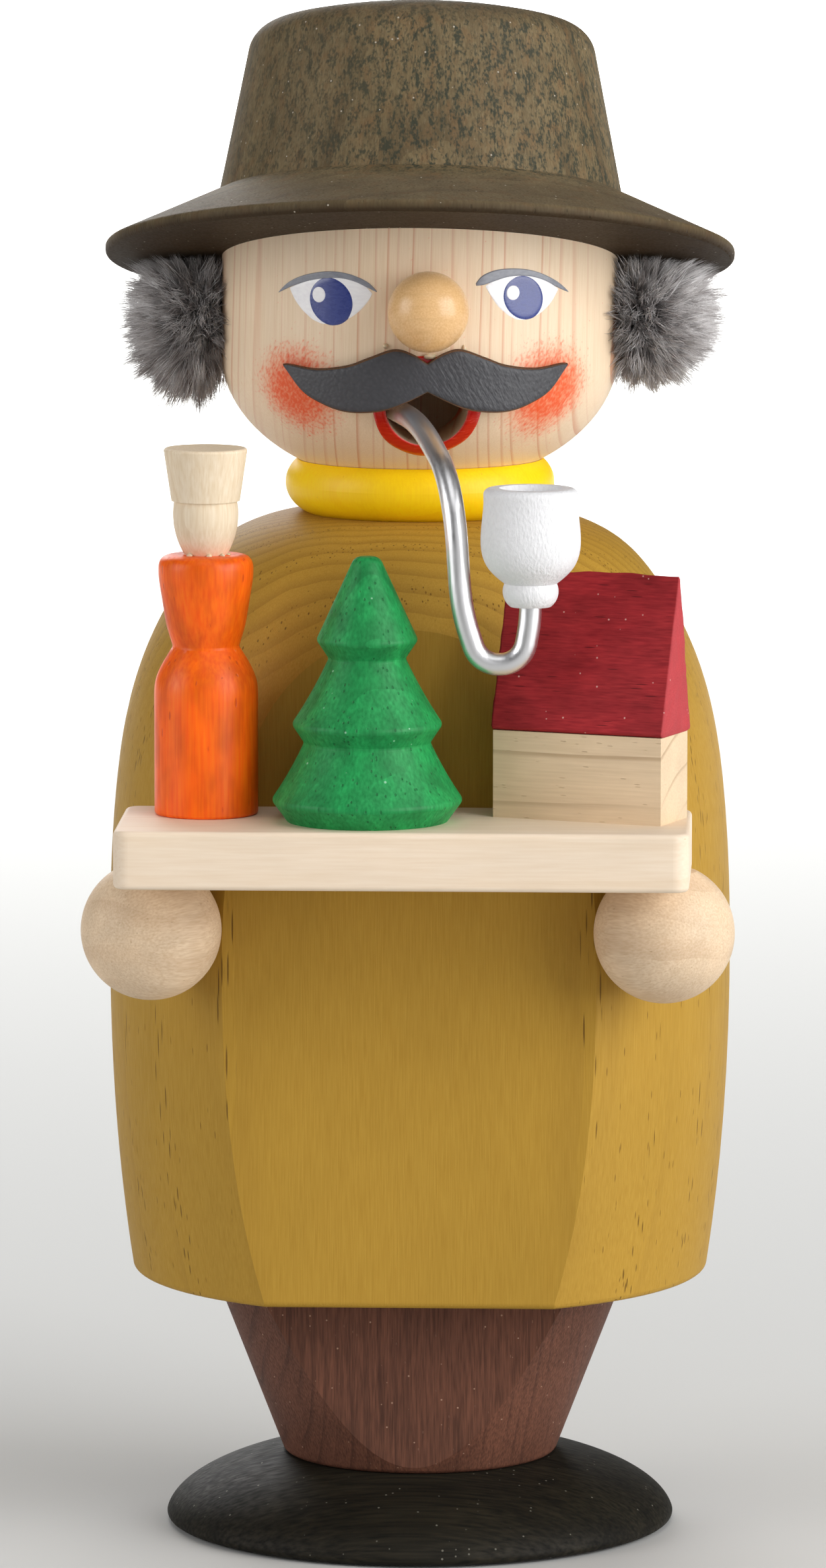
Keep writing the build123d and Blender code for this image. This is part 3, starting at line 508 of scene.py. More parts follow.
white_paint = gloss_paint("white_gloss_paint", "#fbfafb", 0.3, "#f3f1f4")
iris_paint = gloss_paint("blue_gloss_paint", "#303d82", 0.2, "#36448a")
lid_paint = gloss_paint("grey_gloss_paint", "#7d7f89", 0.35, "#8b8e97")
left_white_low = (
    (-38, 115.15), (-35.9, 114.08), (-33.1, 113.15), (-29.1, 112.28), (-24.9, 111.99), (-20.9, 112.25),
    (-16.9, 112.82), (-13.9, 113.65), (-12, 114.4), (-11.2, 114.93),
)
left_white_high = (
    (-38, 115.15), (-33.5, 115.7), (-28.3, 116.2), (-24.1, 116.35), (-20.1, 116.35), (-16.2, 116.1),
    (-13.1, 115.55), (-11.2, 114.93),
)
left_lid_low = (
    (-42.4, 114.62), (-37.3, 115.26), (-32.6, 115.74), (-28.3, 116.04), (-24.1, 116.2), (-20.1, 116.2),
    (-16.2, 115.93), (-12.7, 115.45), (-9.9, 115.05),
)
left_lid_high = (
    (-42.4, 114.66), (-38.2, 115.66), (-33.5, 116.29), (-28.2, 116.68), (-24.1, 116.82), (-20.1, 116.75),
    (-16.2, 116.46), (-12.4, 115.91), (-9.7, 115.1),
)
right_white_low = (
    (21.3, 115.56), (23.2, 114.53), (25.5, 113.59), (28.8, 112.75), (32.1, 112.36), (36, 112.47),
    (40, 113.05), (43.4, 113.92), (46, 115.01),
)
right_white_high = (
    (21.3, 115.56), (24, 116.05), (27.9, 116.42), (32.1, 116.5), (36.4, 116.35), (40.9, 115.9),
    (46, 115.01),
)
right_lid_low = (
    (18.5, 115.6), (20.9, 115.66), (24, 115.95), (27.9, 116.28), (32.1, 116.37), (36.4, 116.22),
    (40.9, 115.81), (45.8, 115.1), (50.2, 114.6),
)
right_lid_high = (
    (18.4, 115.8), (20.5, 116.51), (24, 116.94), (27.9, 117.07), (32.1, 117.02), (36.4, 116.8),
    (40.9, 116.34), (45.8, 115.61), (50.2, 114.66),
)
film("eye_white_left", left_white_low, left_white_high, paint_coat, white_paint)
film("eye_white_right", right_white_low, right_white_high, paint_coat, white_paint)
spot("iris_left", -23.8, 114.12, 6.8, 2.09, 2 * paint_coat, iris_paint, lean=-0.3)
spot("iris_right", 33.4, 114.4, 6.55, 1.93, 2 * paint_coat, iris_paint, lean=-0.35)
spot("glint_left", -27.55, 114.68, 2.15, 0.71, 3 * paint_coat, white_paint)
spot("glint_right", 29.85, 114.88, 2.1, 0.67, 3 * paint_coat, white_paint)
film("lid_left", left_lid_low, left_lid_high, 3 * paint_coat, lid_paint)
film("lid_right", right_lid_low, right_lid_high, 3 * paint_coat, lid_paint)


# Mouth: the drilled hole has a hand-painted ring of red gloss round it, a little uneven in width.
# The ring is its own film and rolls over the hole's sharp edge.
face_yaw = radians(4.5)
mouth_height = 104.72 * mm
hole_radius = 3.75 * mm
red_paint = gloss_paint("red_gloss_paint", "#c8140f", 0.18, "#d8261c")
ring_angle = np.linspace(0, 2 * pi, 120, endpoint=False)[:, None]
ring_waver = 0.1 * np.cos(2 * ring_angle) + 0.06 * np.sin(3 * ring_angle + 1) + 0.04 * np.sin(7 * ring_angle)
ring_width = (1.12 + ring_waver) * mm
ring_share = np.linspace(0, 1, 12)[None, :]
ring_reach = hole_radius - 0.03 * mm + ring_width * ring_share
ring_across, ring_up = ring_reach * np.cos(ring_angle), ring_reach * np.sin(ring_angle)


def on_face(across, height, lift):
    """Points of the head straight behind a point of the face's upright plane, and lift off the wood."""
    below = np.clip((equator - height) / chin_depth, 0, 1)
    above = np.clip((height - equator) / crown_rise, 0, None)
    radius = head_radius * np.sqrt(1 - below**2) - (head_radius - crown_radius) * above**2
    forward = np.sqrt(np.clip(radius**2 - across**2, 0, None))
    scale = 1 + lift / radius
    x, y = across * scale, -forward * scale
    turned = (x * cos(face_yaw) - y * sin(face_yaw), x * sin(face_yaw) + y * cos(face_yaw), height + 0 * x)
    return np.stack(turned, axis=-1)


ring_lift = (0.13 * (1 - (2 * ring_share - 1) ** 6) - 0.03) * mm
ring_front = on_face(ring_across, mouth_height + ring_up, ring_lift)
ring_back = on_face(ring_across, mouth_height + ring_up, -0.1 * mm + 0 * ring_lift)
surface("mouth_ring", np.hstack((ring_front, ring_back[:, ::-1])), red_paint, "figure", True, True)


# Nose: a varnished beech ball on a peg, glued in its hollow. The varnish gives it a soft window of light.
# Three small beads of dried glue, clear and a little brown, show below it and beside it.
nose_varnish = wood(
    "beech_varnished",
    pale="#ecc28c",
    dark="#deae74",
    ring_line="#b98548",
    pore="#a8773f",
    pith=(2 * mm, 5 * mm, 0),
    turn=(radians(75), 0, 0),
    ring=1.1 * mm,
    wander=0.8 * mm,
    line_strength=0.13,
    streak=(0.15 * mm, 1.2 * mm),
    patch_strength=0.05,
    pores=(0.4 * mm, 1.2 * mm, 0.1, 0.08, 0.04, 0.5),
    pore_strength=0.4,
    gloss=(0.3, 0.38),
    relief=0.008 * mm,
    constants={"Coat Weight": 0.4, "Coat Roughness": 0.22},
)
dress(nose_varnish, "nose")
dried_glue = new_finish(
    "dried_glue", {"IOR": 1.48, "Roughness": 0.16, "Subsurface Weight": 0.4, "Subsurface Scale": 0.4 * mm}
)
glue_axes = plank_axes(dried_glue, (0, 0, 0), (0, 0, 0))
glue_cloud = drawn_noise(dried_glue, glue_axes, 0.4 * mm, 0.4 * mm)
glue_tint = {0: glue_cloud, 6: linear("#e6d6bc"), 7: linear("#cfb68f")}
feed(dried_glue, "Base Color", add_node(dried_glue, "ShaderNodeMix", glue_tint, 2, data_type="RGBA"))


def bead(name, centre, half_sizes, seed, body="figure"):
    """A small lump of glue: an ellipsoid whose radius swells and shrinks with three low waves."""
    phases = np.random.default_rng(seed).uniform(0, 2 * pi, 3)
    turn = np.linspace(0, 2 * pi, 20, endpoint=False)[:, None]
    fall = np.linspace(0, pi, 11)[None, :]
    two_waves = 0.16 * np.sin(2 * turn + phases[0])
    three_waves = 0.1 * np.sin(3 * turn + phases[1]) * np.cos(2 * fall + phases[2])
    swell = 1 + np.sin(fall) * (two_waves + three_waves)
    width = np.sin(fall)
    ball = np.stack((width * np.cos(turn), width * np.sin(turn), np.cos(fall) + 0 * turn), axis=-1)
    points = np.array(centre) + ball * swell[..., None] * np.array(half_sizes)
    return surface(name, points, dried_glue, body, close_rows=True)


glue_below = on_face(np.array(0.25 * mm), np.array(109.35 * mm), np.array(0.15 * mm))
glue_left = on_face(np.array(-3.7 * mm), np.array(110.25 * mm), np.array(0.05 * mm))
glue_side = on_face(np.array(3.3 * mm), np.array(110.0 * mm), np.array(0.0))
bead("glue_bead_below", glue_below, (0.5 * mm, 0.4 * mm, 0.3 * mm), 3)
bead("glue_bead_left", glue_left, (0.3 * mm, 0.2 * mm, 0.24 * mm), 4)
bead("glue_bead_side", glue_side, (0.24 * mm, 0.16 * mm, 0.34 * mm), 5)


# Moustache: cut from grained leather 1.2 mm thick and bent round the upper lip. Its face is dark grey,
# pebbled and creased aslant on one wing, and the cut edge shows the brown of the hide.
moustache_half_width = 12.8 * mm
moustache_base = 104.27 * mm
moustache_height = 5.7 * mm
leather_thickness = 1.2 * mm
leather_gap = 0.05 * mm
leather_edge_round = 0.22 * mm
stained_share = 0.93
upper_shares = (
    (0, 0.785), (0.115, 0.94), (0.236, 1.0), (0.406, 0.865), (0.555, 0.735), (0.765, 0.665),
    (0.95, 0.71), (1.0, 0.70),
)
lower_shares = (
    (0, 0.335), (0.138, 0.18), (0.277, 0.055), (0.44, 0.0), (0.587, 0.015), (0.728, 0.118), (0.87, 0.31),
    (1.0, 0.69),
)
moustache_leather = new_finish("grained_leather", {"IOR": 1.5, "Sheen Weight": 0.08, "Sheen Roughness": 0.5})
leather_axes = plank_axes(moustache_leather, (0, 0, 0), (0, radians(-32), 0))
pebble_size = add_node(
    moustache_leather,
    "ShaderNodeVectorMath",
    {0: leather_axes, 1: (1 / (0.3 * mm),) * 3},
    operation="MULTIPLY",
)
pebbles = add_node(
    moustache_leather, "ShaderNodeTexVoronoi", {"Vector": pebble_size, "Scale": 1.0}, feature="SMOOTH_F1"
)
creases = drawn_noise(moustache_leather, leather_axes, 0.3 * mm, 1.5 * mm, 3.0)
leather_place = add_node(moustache_leather, "ShaderNodeTexCoord", output="Object")
leather_side = add_node(moustache_leather, "ShaderNodeSeparateXYZ", {0: leather_place})
crease_side = {"Value": leather_side, "From Min": -2 * mm, "From Max": 2.5 * mm, "To Min": 0.3, "To Max": 1.6}
crease_share = add_node(moustache_leather, "ShaderNodeMapRange", crease_side)
crease_depth = add_node(
    moustache_leather, "ShaderNodeMath", {0: creases, 1: crease_share}, operation="MULTIPLY"
)
leather_height = add_node(
    moustache_leather, "ShaderNodeMath", {0: pebbles, 1: -0.7, 2: crease_depth}, operation="MULTIPLY_ADD"
)
leather_shade = {0: pebbles, 6: linear("#414145"), 7: linear("#333337")}
leather_grey = add_node(moustache_leather, "ShaderNodeMix", leather_shade, 2, data_type="RGBA")
feed(moustache_leather, "Base Color", leather_grey)
leather_shine = {"Value": creases, "From Min": 0.3, "From Max": 0.7, "To Min": 0.56, "To Max": 0.46}
feed(moustache_leather, "Roughness", add_node(moustache_leather, "ShaderNodeMapRange", leather_shine))
leather_bump = {"Height": leather_height, "Strength": 1.0, "Distance": 0.06 * mm}
feed(moustache_leather, "Normal", add_node(moustache_leather, "ShaderNodeBump", leather_bump))
cut_hide = new_finish("cut_leather_edge", {"IOR": 1.45})
hide_axes = plank_axes(cut_hide, (0, 0, 0), (radians(90), 0, 0))
hide_fibres = drawn_noise(cut_hide, hide_axes, 0.12 * mm, 0.4 * mm, 3.0)
hide_shade = {0: hide_fibres, 6: linear("#3a2416"), 7: linear("#7a5536")}
feed(cut_hide, "Base Color", add_node(cut_hide, "ShaderNodeMix", hide_shade, 2, data_type="RGBA"))
hide_dull = {"Value": hide_fibres, "To Min": 0.7, "To Max": 0.9}
feed(cut_hide, "Roughness", add_node(cut_hide, "ShaderNodeMapRange", hide_dull))
feed(cut_hide, "Normal", add_node(cut_hide, "ShaderNodeBump", {"Height": hide_fibres, "Distance": 0.05 * mm}))

moustache_share = np.sin(np.linspace(-pi / 2, pi / 2, 241))
upper_line, lower_line = through(upper_shares, 400), through(lower_shares, 400)
upper = np.interp(np.abs(moustache_share), upper_line[:, 0], upper_line[:, 1])
lower = np.minimum(np.interp(np.abs(moustache_share), lower_line[:, 0], lower_line[:, 1]), upper)
face_rows = np.linspace(0, 1, 40)
rounding = leather_edge_round * (np.abs(2 * face_rows - 1) ** 14)
edge_rows = np.linspace(0.85, 0.0, 5)
section_height = np.concatenate((face_rows, np.ones(5), 1 - face_rows[::8], np.zeros(5)))
section_lift = np.concatenate(
    (
        leather_gap + leather_thickness - rounding,
        leather_gap + leather_thickness * edge_rows,
        np.full(len(face_rows[::8]), leather_gap),
        leather_gap + leather_thickness * edge_rows[::-1],
    )
)
leather_across = (moustache_half_width * moustache_share)[:, None] + 0 * section_height
leather_up = moustache_base + moustache_height * (lower[:, None] + (upper - lower)[:, None] * section_height)
leather_radius = head_radius + section_lift[None, :]
leather_forward = np.sqrt(leather_radius**2 - leather_across**2)
leather_points = np.stack(
    (
        leather_across * cos(face_yaw) + leather_forward * sin(face_yaw),
        leather_across * sin(face_yaw) - leather_forward * cos(face_yaw),
        leather_up,
    ),
    axis=-1,
)
moustache = surface("moustache_leather", leather_points, moustache_leather, "figure", close_columns=True)
moustache.data.materials.append(cut_hide)
for face in moustache.data.polygons:
    out = np.array(face.center[:2])
    face.material_index = int(np.hypot(*out) < head_radius + leather_gap + stained_share * leather_thickness)
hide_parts("moustache")


# Hat: crown and brim turned from one block of ash, stained dark olive-brown, set on a slanting cut.
# Soaked pores show as dark flecks on the crown's side. The top of the crown and the upper side of the brim
# are darkened with painted shade, and the cut under the brim is painted nearly black as shade under it.
# The hidden dowel, like every peg here, is plain beech rod.
hat_tilt = radians(-13)
hat_seat = 116.67 * mm
hat_stain = wood(
    "ash_olive_brown_stain",
    pale="#796a4d",
    dark="#65563e",
    ring_line="#4a3c2a",
    pore="#3b3b30",
    pith=(-16 * mm, 46 * mm, hat_seat),
    turn=(hat_tilt, 0, 0),
    ring=4.0 * mm,
    wander=5 * mm,
    line_share=0.4,
    line_strength=0.5,
    streak=(0.22 * mm, 0.9 * mm),
    patch=(4 * mm, 7 * mm),
    patch_strength=0.16,
    pores=(0.4 * mm, 0.9 * mm, 0.3, 0.5, 0.25, 0.6),
    pore_strength=0.4,
    gloss=(0.56, 0.7),
    relief=0.04 * mm,
    constants={"Specular IOR Level": 0.16},
)
hat_axes = plank_axes(hat_stain, (0, 0, hat_seat), (hat_tilt, 0, 0))
hat_place = add_node(hat_stain, "ShaderNodeSeparateXYZ", {0: hat_axes}).node
rust = drawn_noise(hat_stain, hat_axes, 1.1 * mm, 1.9 * mm, 4.0)
rusty = {"Value": rust, "From Min": 0.5, "From Max": 0.75, "To Max": 0.5}
paint_over(hat_stain, add_node(hat_stain, "ShaderNodeMapRange", rusty), "#7a5a3a")
strokes = drawn_noise(hat_stain, hat_axes, 0.14 * mm, 0.6 * mm, 2.0)
rubbed = {"Value": strokes, "From Min": 0.56, "From Max": 0.74, "To Max": 0.26}
paint_over(hat_stain, add_node(hat_stain, "ShaderNodeMapRange", rubbed), "#918269")
fleck = drawn_noise(hat_stain, hat_axes, 0.2 * mm, 0.36 * mm, 3.0)
fleck_zone = drawn_noise(hat_stain, hat_axes, 0.7 * mm, 1.5 * mm, 2.0)
fleck_sum = add_node(hat_stain, "ShaderNodeMath", {0: fleck, 1: fleck_zone}, operation="ADD")
flecked = {"Value": fleck_sum, "From Min": 0.96, "From Max": 1.18, "To Max": 0.9}
fleck_share = add_node(hat_stain, "ShaderNodeMapRange", flecked)
for axis, nothing, full in ((2, 4.2 * mm, 5.4 * mm), (2, 23.5 * mm, 19.5 * mm), (0, -34 * mm, 0)):
    limit = {"Value": hat_place.outputs[axis], "From Min": nothing, "From Max": full}
    inside = add_node(hat_stain, "ShaderNodeMapRange", limit)
    fleck_share = add_node(hat_stain, "ShaderNodeMath", {0: fleck_share, 1: inside}, operation="MULTIPLY")
paint_over(hat_stain, fleck_share, "#35392f")
# Painted shade: the top of the crown and the upper side of the brim are darkened by height, not by stain.
for unshaded, fully_shaded, most in ((19.0 * mm, 21.6 * mm, 0.62), (4.6 * mm, 3.4 * mm, 0.45)):
    painted_top_shade = {"Value": hat_place.outputs[2], "From Min": unshaded, "From Max": fully_shaded, "To Max": most}
    paint_over(hat_stain, add_node(hat_stain, "ShaderNodeMapRange", painted_top_shade), "#463a28")
# Painted shade: the cut under the brim is painted nearly black, standing for the shadow under the brim.
painted_shade_under_brim = {"Value": hat_place.outputs[2], "From Min": 0.9 * mm, "From Max": 0.2 * mm, "To Max": 0.75}
paint_over(hat_stain, add_node(hat_stain, "ShaderNodeMapRange", painted_shade_under_brim), "#291a0e")
dust(hat_stain, 0.5 * mm, 0.05, "#b5ab9b")
dress(hat_stain, "hat")
peg_wood = wood(
    "beech_dowel",
    pale="#e3c69a",
    dark="#d0ac79",
    ring_line="#bb935e",
    pore="#a87f4c",
    pith=(30 * mm, 10 * mm, 0),
    pores=(0.4 * mm, 1.5 * mm, 0.15, 0.2, 0.1, 0.5),
)
dress(peg_wood, "hat_dowel", "hand_peg_left", "hand_peg_right", "tray_dowels")


# Hair: a strip of grey fur glued round the back of the head from temple to temple, its skin out of sight
# under dense dark underwool. The pile fans out in pointed locks, dark at the root and pale at the tip, with
# white guard hairs. A real hair is about 0.03 mm thick, and is drawn 0.1 mm thick so that it shows.
fur_height = 110.9 * mm
fur_skin_radius = 20.1 * mm
fur_half_strip = 2.1 * mm
fur_fan = radians(58)
fur_unruly = radians(24)
fur_sweep = radians(18)
guard_share = 0.05
root_scatter = 0.45 * mm
start_scatter = 0.8 * mm
tip_scatter = 0.3 * mm
tip_droop = 0.5 * mm
skin_half_thickness = 1.3 * mm
skin_half_height = 2.3 * mm
fur = new_finish("grey_fur", {"IOR": 1.55, "Sheen Weight": 0.15, "Sheen Roughness": 0.4})
fur_along = add_node(fur, "ShaderNodeAttribute", output="Fac", attribute_name="along")
fur_shade = add_node(fur, "ShaderNodeAttribute", output="Fac", attribute_name="shade")
fur_lift = {"Value": fur_along, "From Min": 0.0, "From Max": 0.6}
fur_tip = add_node(fur, "ShaderNodeMapRange", fur_lift)
fur_tones = {0: fur_shade, 6: linear("#756a66"), 7: linear("#f3f0f0")}
fur_grey = add_node(fur, "ShaderNodeMix", fur_tones, 2, data_type="RGBA")
fur_rooted = {0: fur_tip, 6: linear("#4a4341"), 7: fur_grey}
feed(fur, "Base Color", add_node(fur, "ShaderNodeMix", fur_rooted, 2, data_type="RGBA"))
fur_shine = {"Value": fur_shade, "To Min": 0.55, "To Max": 0.4}
feed(fur, "Roughness", add_node(fur, "ShaderNodeMapRange", fur_shine))


def hairs(name, roots, start, bend, width, shade):
    """Fur as three-sided spikes: each follows root + start * s + bend * s squared for s from 0 to 1, and its
    thickness falls to a point with the square root of what is left."""
    count, rings = len(roots), 3
    s = np.linspace(0, 1, rings + 1)[None, :, None]
    line = roots[:, None] + start[:, None] * s + bend[:, None] * s**2
    side = np.cross(start, np.roll(start, 1, axis=1) + bend)
    side /= np.linalg.norm(side, axis=1, keepdims=True)
    other = np.cross(start / np.linalg.norm(start, axis=1, keepdims=True), side)
    corner = np.array([0, 2 * pi / 3, 4 * pi / 3])
    circle = side[:, None] * np.cos(corner)[None, :, None] + other[:, None] * np.sin(corner)[None, :, None]
    thick = width[:, None] * np.sqrt(1 - s[..., 0])
    tubes = line[:, :rings, None] + circle[:, None] * thick[:, :rings, None, None]
    vertices = np.concatenate((tubes.reshape(count, rings * 3, 3), line[:, rings:]), axis=1)
    base = np.arange(count)[:, None, None] * (rings * 3 + 1)
    ring_start = (np.arange(rings - 1) * 3)[:, None]
    a, b = np.arange(3), (np.arange(3) + 1) % 3
    quads = np.stack((ring_start + a, ring_start + b, ring_start + 3 + b, ring_start + 3 + a), axis=-1)
    last = (rings - 1) * 3
    tips = np.stack((last + a, last + b, np.full(3, rings * 3)), axis=-1)
    faces = (base + quads.reshape(1, -1, 4)).reshape(-1, 4).tolist()
    faces += (base + np.vstack((tips, [[2, 1, 0]]))[None]).reshape(-1, 3).tolist()
    mesh = bpy.data.meshes.new(name)
    mesh.from_pydata(vertices.reshape(-1, 3).tolist(), [], faces)
    along = np.tile(np.append(np.repeat(np.linspace(0, 1, rings + 1)[:rings], 3), 1.0), count)
    mesh.attributes.new("along", "FLOAT", "POINT").data.foreach_set("value", along.astype(np.float32))
    each = np.repeat(shade, rings * 3 + 1)
    mesh.attributes.new("shade", "FLOAT", "POINT").data.foreach_set("value", each.astype(np.float32))
    mesh.shade_smooth()
    mesh.materials.append(fur)
    piece = bpy.data.objects.new(name, mesh)
    bpy.context.scene.collection.objects.link(piece)
    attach(piece, "figure")
    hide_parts("hair")


def fur_strip(name, side, first, last, count, seed, end_share, reach, drop, paleness):
    """A length of the strip on one side of the head, by bearing. On the strip, hairs leave outwards in a
    fan. An end_share of them grows from the strip's cut end instead, evenly over a half ball that faces
    outwards and forwards. Hairs gather in locks: each bends towards the tip of the nearest of some leading
    hairs. One that would meet the hat is laid along it: its rise falls off so that it ends just under the
    brim. Hairs that point down are shorter by up to drop, where they were clipped."""
    random = np.random.default_rng(seed)
    ends = random.uniform(0, 1, count) < end_share
    cut_end = first + random.uniform(0, 5, count)
    bearing = np.radians(np.where(ends, cut_end, random.uniform(first, last, count)))
    outward = np.stack((side * np.sin(bearing), -np.cos(bearing), 0 * bearing), axis=-1)
    forward = np.stack((-side * np.cos(bearing), -np.sin(bearing), 0 * bearing), axis=-1)
    upward = np.array([0, 0, 1.0])
    strip = random.uniform(-1, 1, count)
    rise = strip * fur_fan + random.normal(0, fur_unruly, count)
    sweep = random.normal(0, fur_sweep, count)
    fan = outward * (np.cos(rise) * np.cos(sweep))[:, None] + upward * np.sin(rise)[:, None]
    fan += forward * (np.cos(rise) * np.sin(sweep))[:, None]
    ball = random.normal(size=(count, 3))
    ball /= np.linalg.norm(ball, axis=1, keepdims=True)
    facing = 0.8 * outward + 0.6 * forward
    across_face = np.einsum("ij,ij->i", ball, facing)
    ball -= facing * (across_face - np.abs(across_face))[:, None]
    way = np.where(ends[:, None], ball, fan)
    way /= np.linalg.norm(way, axis=1, keepdims=True)
    roots = outward * (fur_skin_radius + random.normal(0, root_scatter, count))[:, None]
    roots[:, 2] += fur_height + strip * fur_half_strip
    lengths = reach * random.uniform(0.72, 1.04, count) ** 0.8
    lengths *= 1 - drop * np.clip(-way[:, 2], 0, 1)
    guard = random.uniform(0, 1, count) < guard_share
    lengths = np.where(guard, 1.1 * lengths, lengths)
    start = way * lengths[:, None]
    tips = roots + start + np.array([0, 0, -tip_droop]) + random.normal(0, tip_scatter, (count, 3))
    start += random.normal(0, start_scatter, (count, 3))
    leaders = random.integers(0, count, max(20, count // 26))
    place = np.concatenate((roots * 0.6, tips), axis=1)
    gap = (place**2).sum(1)[:, None] - 2 * place @ place[leaders].T + (place[leaders] ** 2).sum(1)[None]
    lock = leaders[np.argmin(gap, axis=1)]
    tips += (tips[lock] - tips) * random.uniform(0.3, 0.8, count)[:, None]
    hat_up = np.array([0, sin(-hat_tilt), cos(hat_tilt)])
    seat = np.array([0, 0, hat_seat - 0.2 * mm])
    room = np.maximum((seat - roots) @ hat_up, 0.15 * mm)
    too_steep = np.maximum(start @ hat_up - 2 * room, 0)
    start -= hat_up * too_steep[:, None]
    tips -= hat_up * np.maximum((tips - seat) @ hat_up, 0)[:, None]
    clear = np.hypot(tips[:, 0], tips[:, 1]) > head_radius * 0.99
    clear &= (seat - roots) @ hat_up > 0.1 * mm
    lock_tone = random.normal(0, 0.2, count)[lock]
    shade = np.clip(paleness + lock_tone + random.normal(0, 0.12, count), 0.02, 1)
    shade = np.where(guard, 0.95, shade)
    width = np.where(guard, 0.042, 0.052) * mm * random.uniform(0.7, 1.2, count)
    bend = tips - roots - start
    hairs(name, roots[clear], start[clear], bend[clear], width[clear], shade[clear])


fur_count = 11500
fur_strip("fur_tuft_left_outer", -1, 91, 104, fur_count, 11, 0.9, 8.3 * mm, 0.12, 0.42)
fur_strip("fur_tuft_left_inner", -1, 92, 116, fur_count, 12, 0.35, 7.2 * mm, 0.12, 0.32)
fur_strip("fur_tuft_right_outer", 1, 91, 104, fur_count, 21, 0.9, 8.7 * mm, 0.45, 0.5)
fur_strip("fur_tuft_right_inner", 1, 92, 116, fur_count, 22, 0.35, 7.2 * mm, 0.45, 0.34)
fur_strip("fur_back_left", -1, 106, 182, fur_count, 31, 0.0, 7.2 * mm, 0.3, 0.36)
fur_strip("fur_back_right", 1, 106, 182, fur_count, 41, 0.0, 7.2 * mm, 0.3, 0.36)
skin_bearing = np.radians(np.linspace(91, 269, 120))[:, None]
skin_angle = np.linspace(0, 2 * pi, 24, endpoint=False)[None, :]
skin_radius = fur_skin_radius + 0.2 * mm + skin_half_thickness * np.cos(skin_angle)
skin_places = (
    skin_radius * np.sin(skin_bearing),
    -skin_radius * np.cos(skin_bearing),
    fur_height - 0.4 * mm + skin_half_height * np.sin(skin_angle) + 0 * skin_bearing,
)
fur_wool = new_finish("fur_underwool", {"IOR": 1.45})
wool = drawn_noise(fur_wool, plank_axes(fur_wool, (0, 0, 0), (0, 0, 0)), 0.2 * mm, 0.2 * mm)
wool_shade = {0: wool, 6: linear("#2a2523"), 7: linear("#4a4240")}
feed(fur_wool, "Base Color", add_node(fur_wool, "ShaderNodeMix", wool_shade, 2, data_type="RGBA"))
wool_dull = {"Value": wool, "To Min": 0.85, "To Max": 1.0}
feed(fur_wool, "Roughness", add_node(fur_wool, "ShaderNodeMapRange", wool_dull))
fur_skin = surface("fur_strip", np.stack(skin_places, axis=-1), fur_wool, "figure", close_columns=True)
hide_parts("hair")


# Hands: bare beech balls, pinned level into the robe and cut flat where the tray rests on them.
# Their grain lies level and shows as short pale flecks.
for side, side_name in ((-1, "left"), (1, "right")):
    hand_wood = wood(
        f"bare_beech_hand_{side_name}",
        pale="#ecd4b6",
        dark="#d9bb98",
        ring_line="#c4a07c",
        pore="#b9946c",
        pith=(side * 23 * mm, -26 * mm, (58.5 + 12 * side) * mm),
        turn=(radians(12 * side), radians(88), radians(-30 * side)),
        ring=3.4 * mm,
        wander=4.0 * mm,
        line_share=0.7,
        line_strength=0.3,
        streak=(0.16 * mm, 1.6 * mm),
        patch=(3 * mm, 6 * mm),
        patch_strength=0.07,
        pores=(0.4 * mm, 1.1 * mm, 0.2, 0.22, 0.12, 0.5),
        pore_strength=0.4,
        gloss=(0.5, 0.6),
        relief=0.02 * mm,
    )
    dress(hand_wood, f"hand_{side_name}")


# Tray: a beech board with softened edges, left bare and pinned to the robe, its fibres along its length.
# Faint lines of its rings and a few orange-brown dashes of cut pores show along it.
tray_wood = wood(
    "bare_beech_board",
    pale="#f2dfc8",
    dark="#ecd6bc",
    ring_line="#e0c5a3",
    pore="#d8a06a",
    pith=(0, -30 * mm, 20 * mm),
    turn=(0, radians(90), 0),
    ring=3.2 * mm,
    wander=2.5 * mm,
    line_strength=0.3,
    streak=(0.25 * mm, 5 * mm),
    patch_strength=0.03,
    pores=(0.7 * mm, 3.6 * mm, 0.1, 0.16, 0.08, 0.5),
    pore_strength=0.6,
    gloss=(0.48, 0.58),
    relief=0.02 * mm,
)
dress(tray_wood, "tray")


# Little figure: a turned gown stained orange in one thin, blotchy coat, and a bare turned head with its hat.
# Crumbs of glue sit in the joint between them.
gown_place = (-17.82, -28.1)
gown_stain = wood(
    "lime_orange_stain",
    pale="#ff710e",
    dark="#f25806",
    ring_line="#cf420a",
    pore="#b8330a",
    pith=(-30 * mm, -10 * mm, 0),
    ring=1.9 * mm,
    wander=2.5 * mm,
    line_share=0.5,
    line_strength=0.3,
    streak=(0.25 * mm, 5 * mm),
    patch=(2.2 * mm, 4.5 * mm),
    patch_strength=0.18,
    pores=(0.6 * mm, 2.0 * mm, 0.25, 0.25, 0.1, 0.5),
    pore_strength=0.5,
    gloss=(0.34, 0.46),
    relief=0.02 * mm,
)
dress(gown_stain, "figure_gown")
figure_wood = wood(
    "bare_lime",
    pale="#f2e0c6",
    dark="#e6cfae",
    ring_line="#d2b48c",
    pore="#c4a076",
    pith=(-10 * mm, 0, 0),
    ring=1.2 * mm,
    wander=1.0 * mm,
    line_strength=0.3,
    streak=(0.18 * mm, 4 * mm),
    patch_strength=0.04,
    pores=(0.45 * mm, 1.5 * mm, 0.12, 0.12, 0.06, 0.5),
    pore_strength=0.4,
    gloss=(0.48, 0.58),
    relief=0.015 * mm,
)
dress(figure_wood, "figure_head")
neck_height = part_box("figure_gown")[1].z
neck_radius = 2.05 * mm
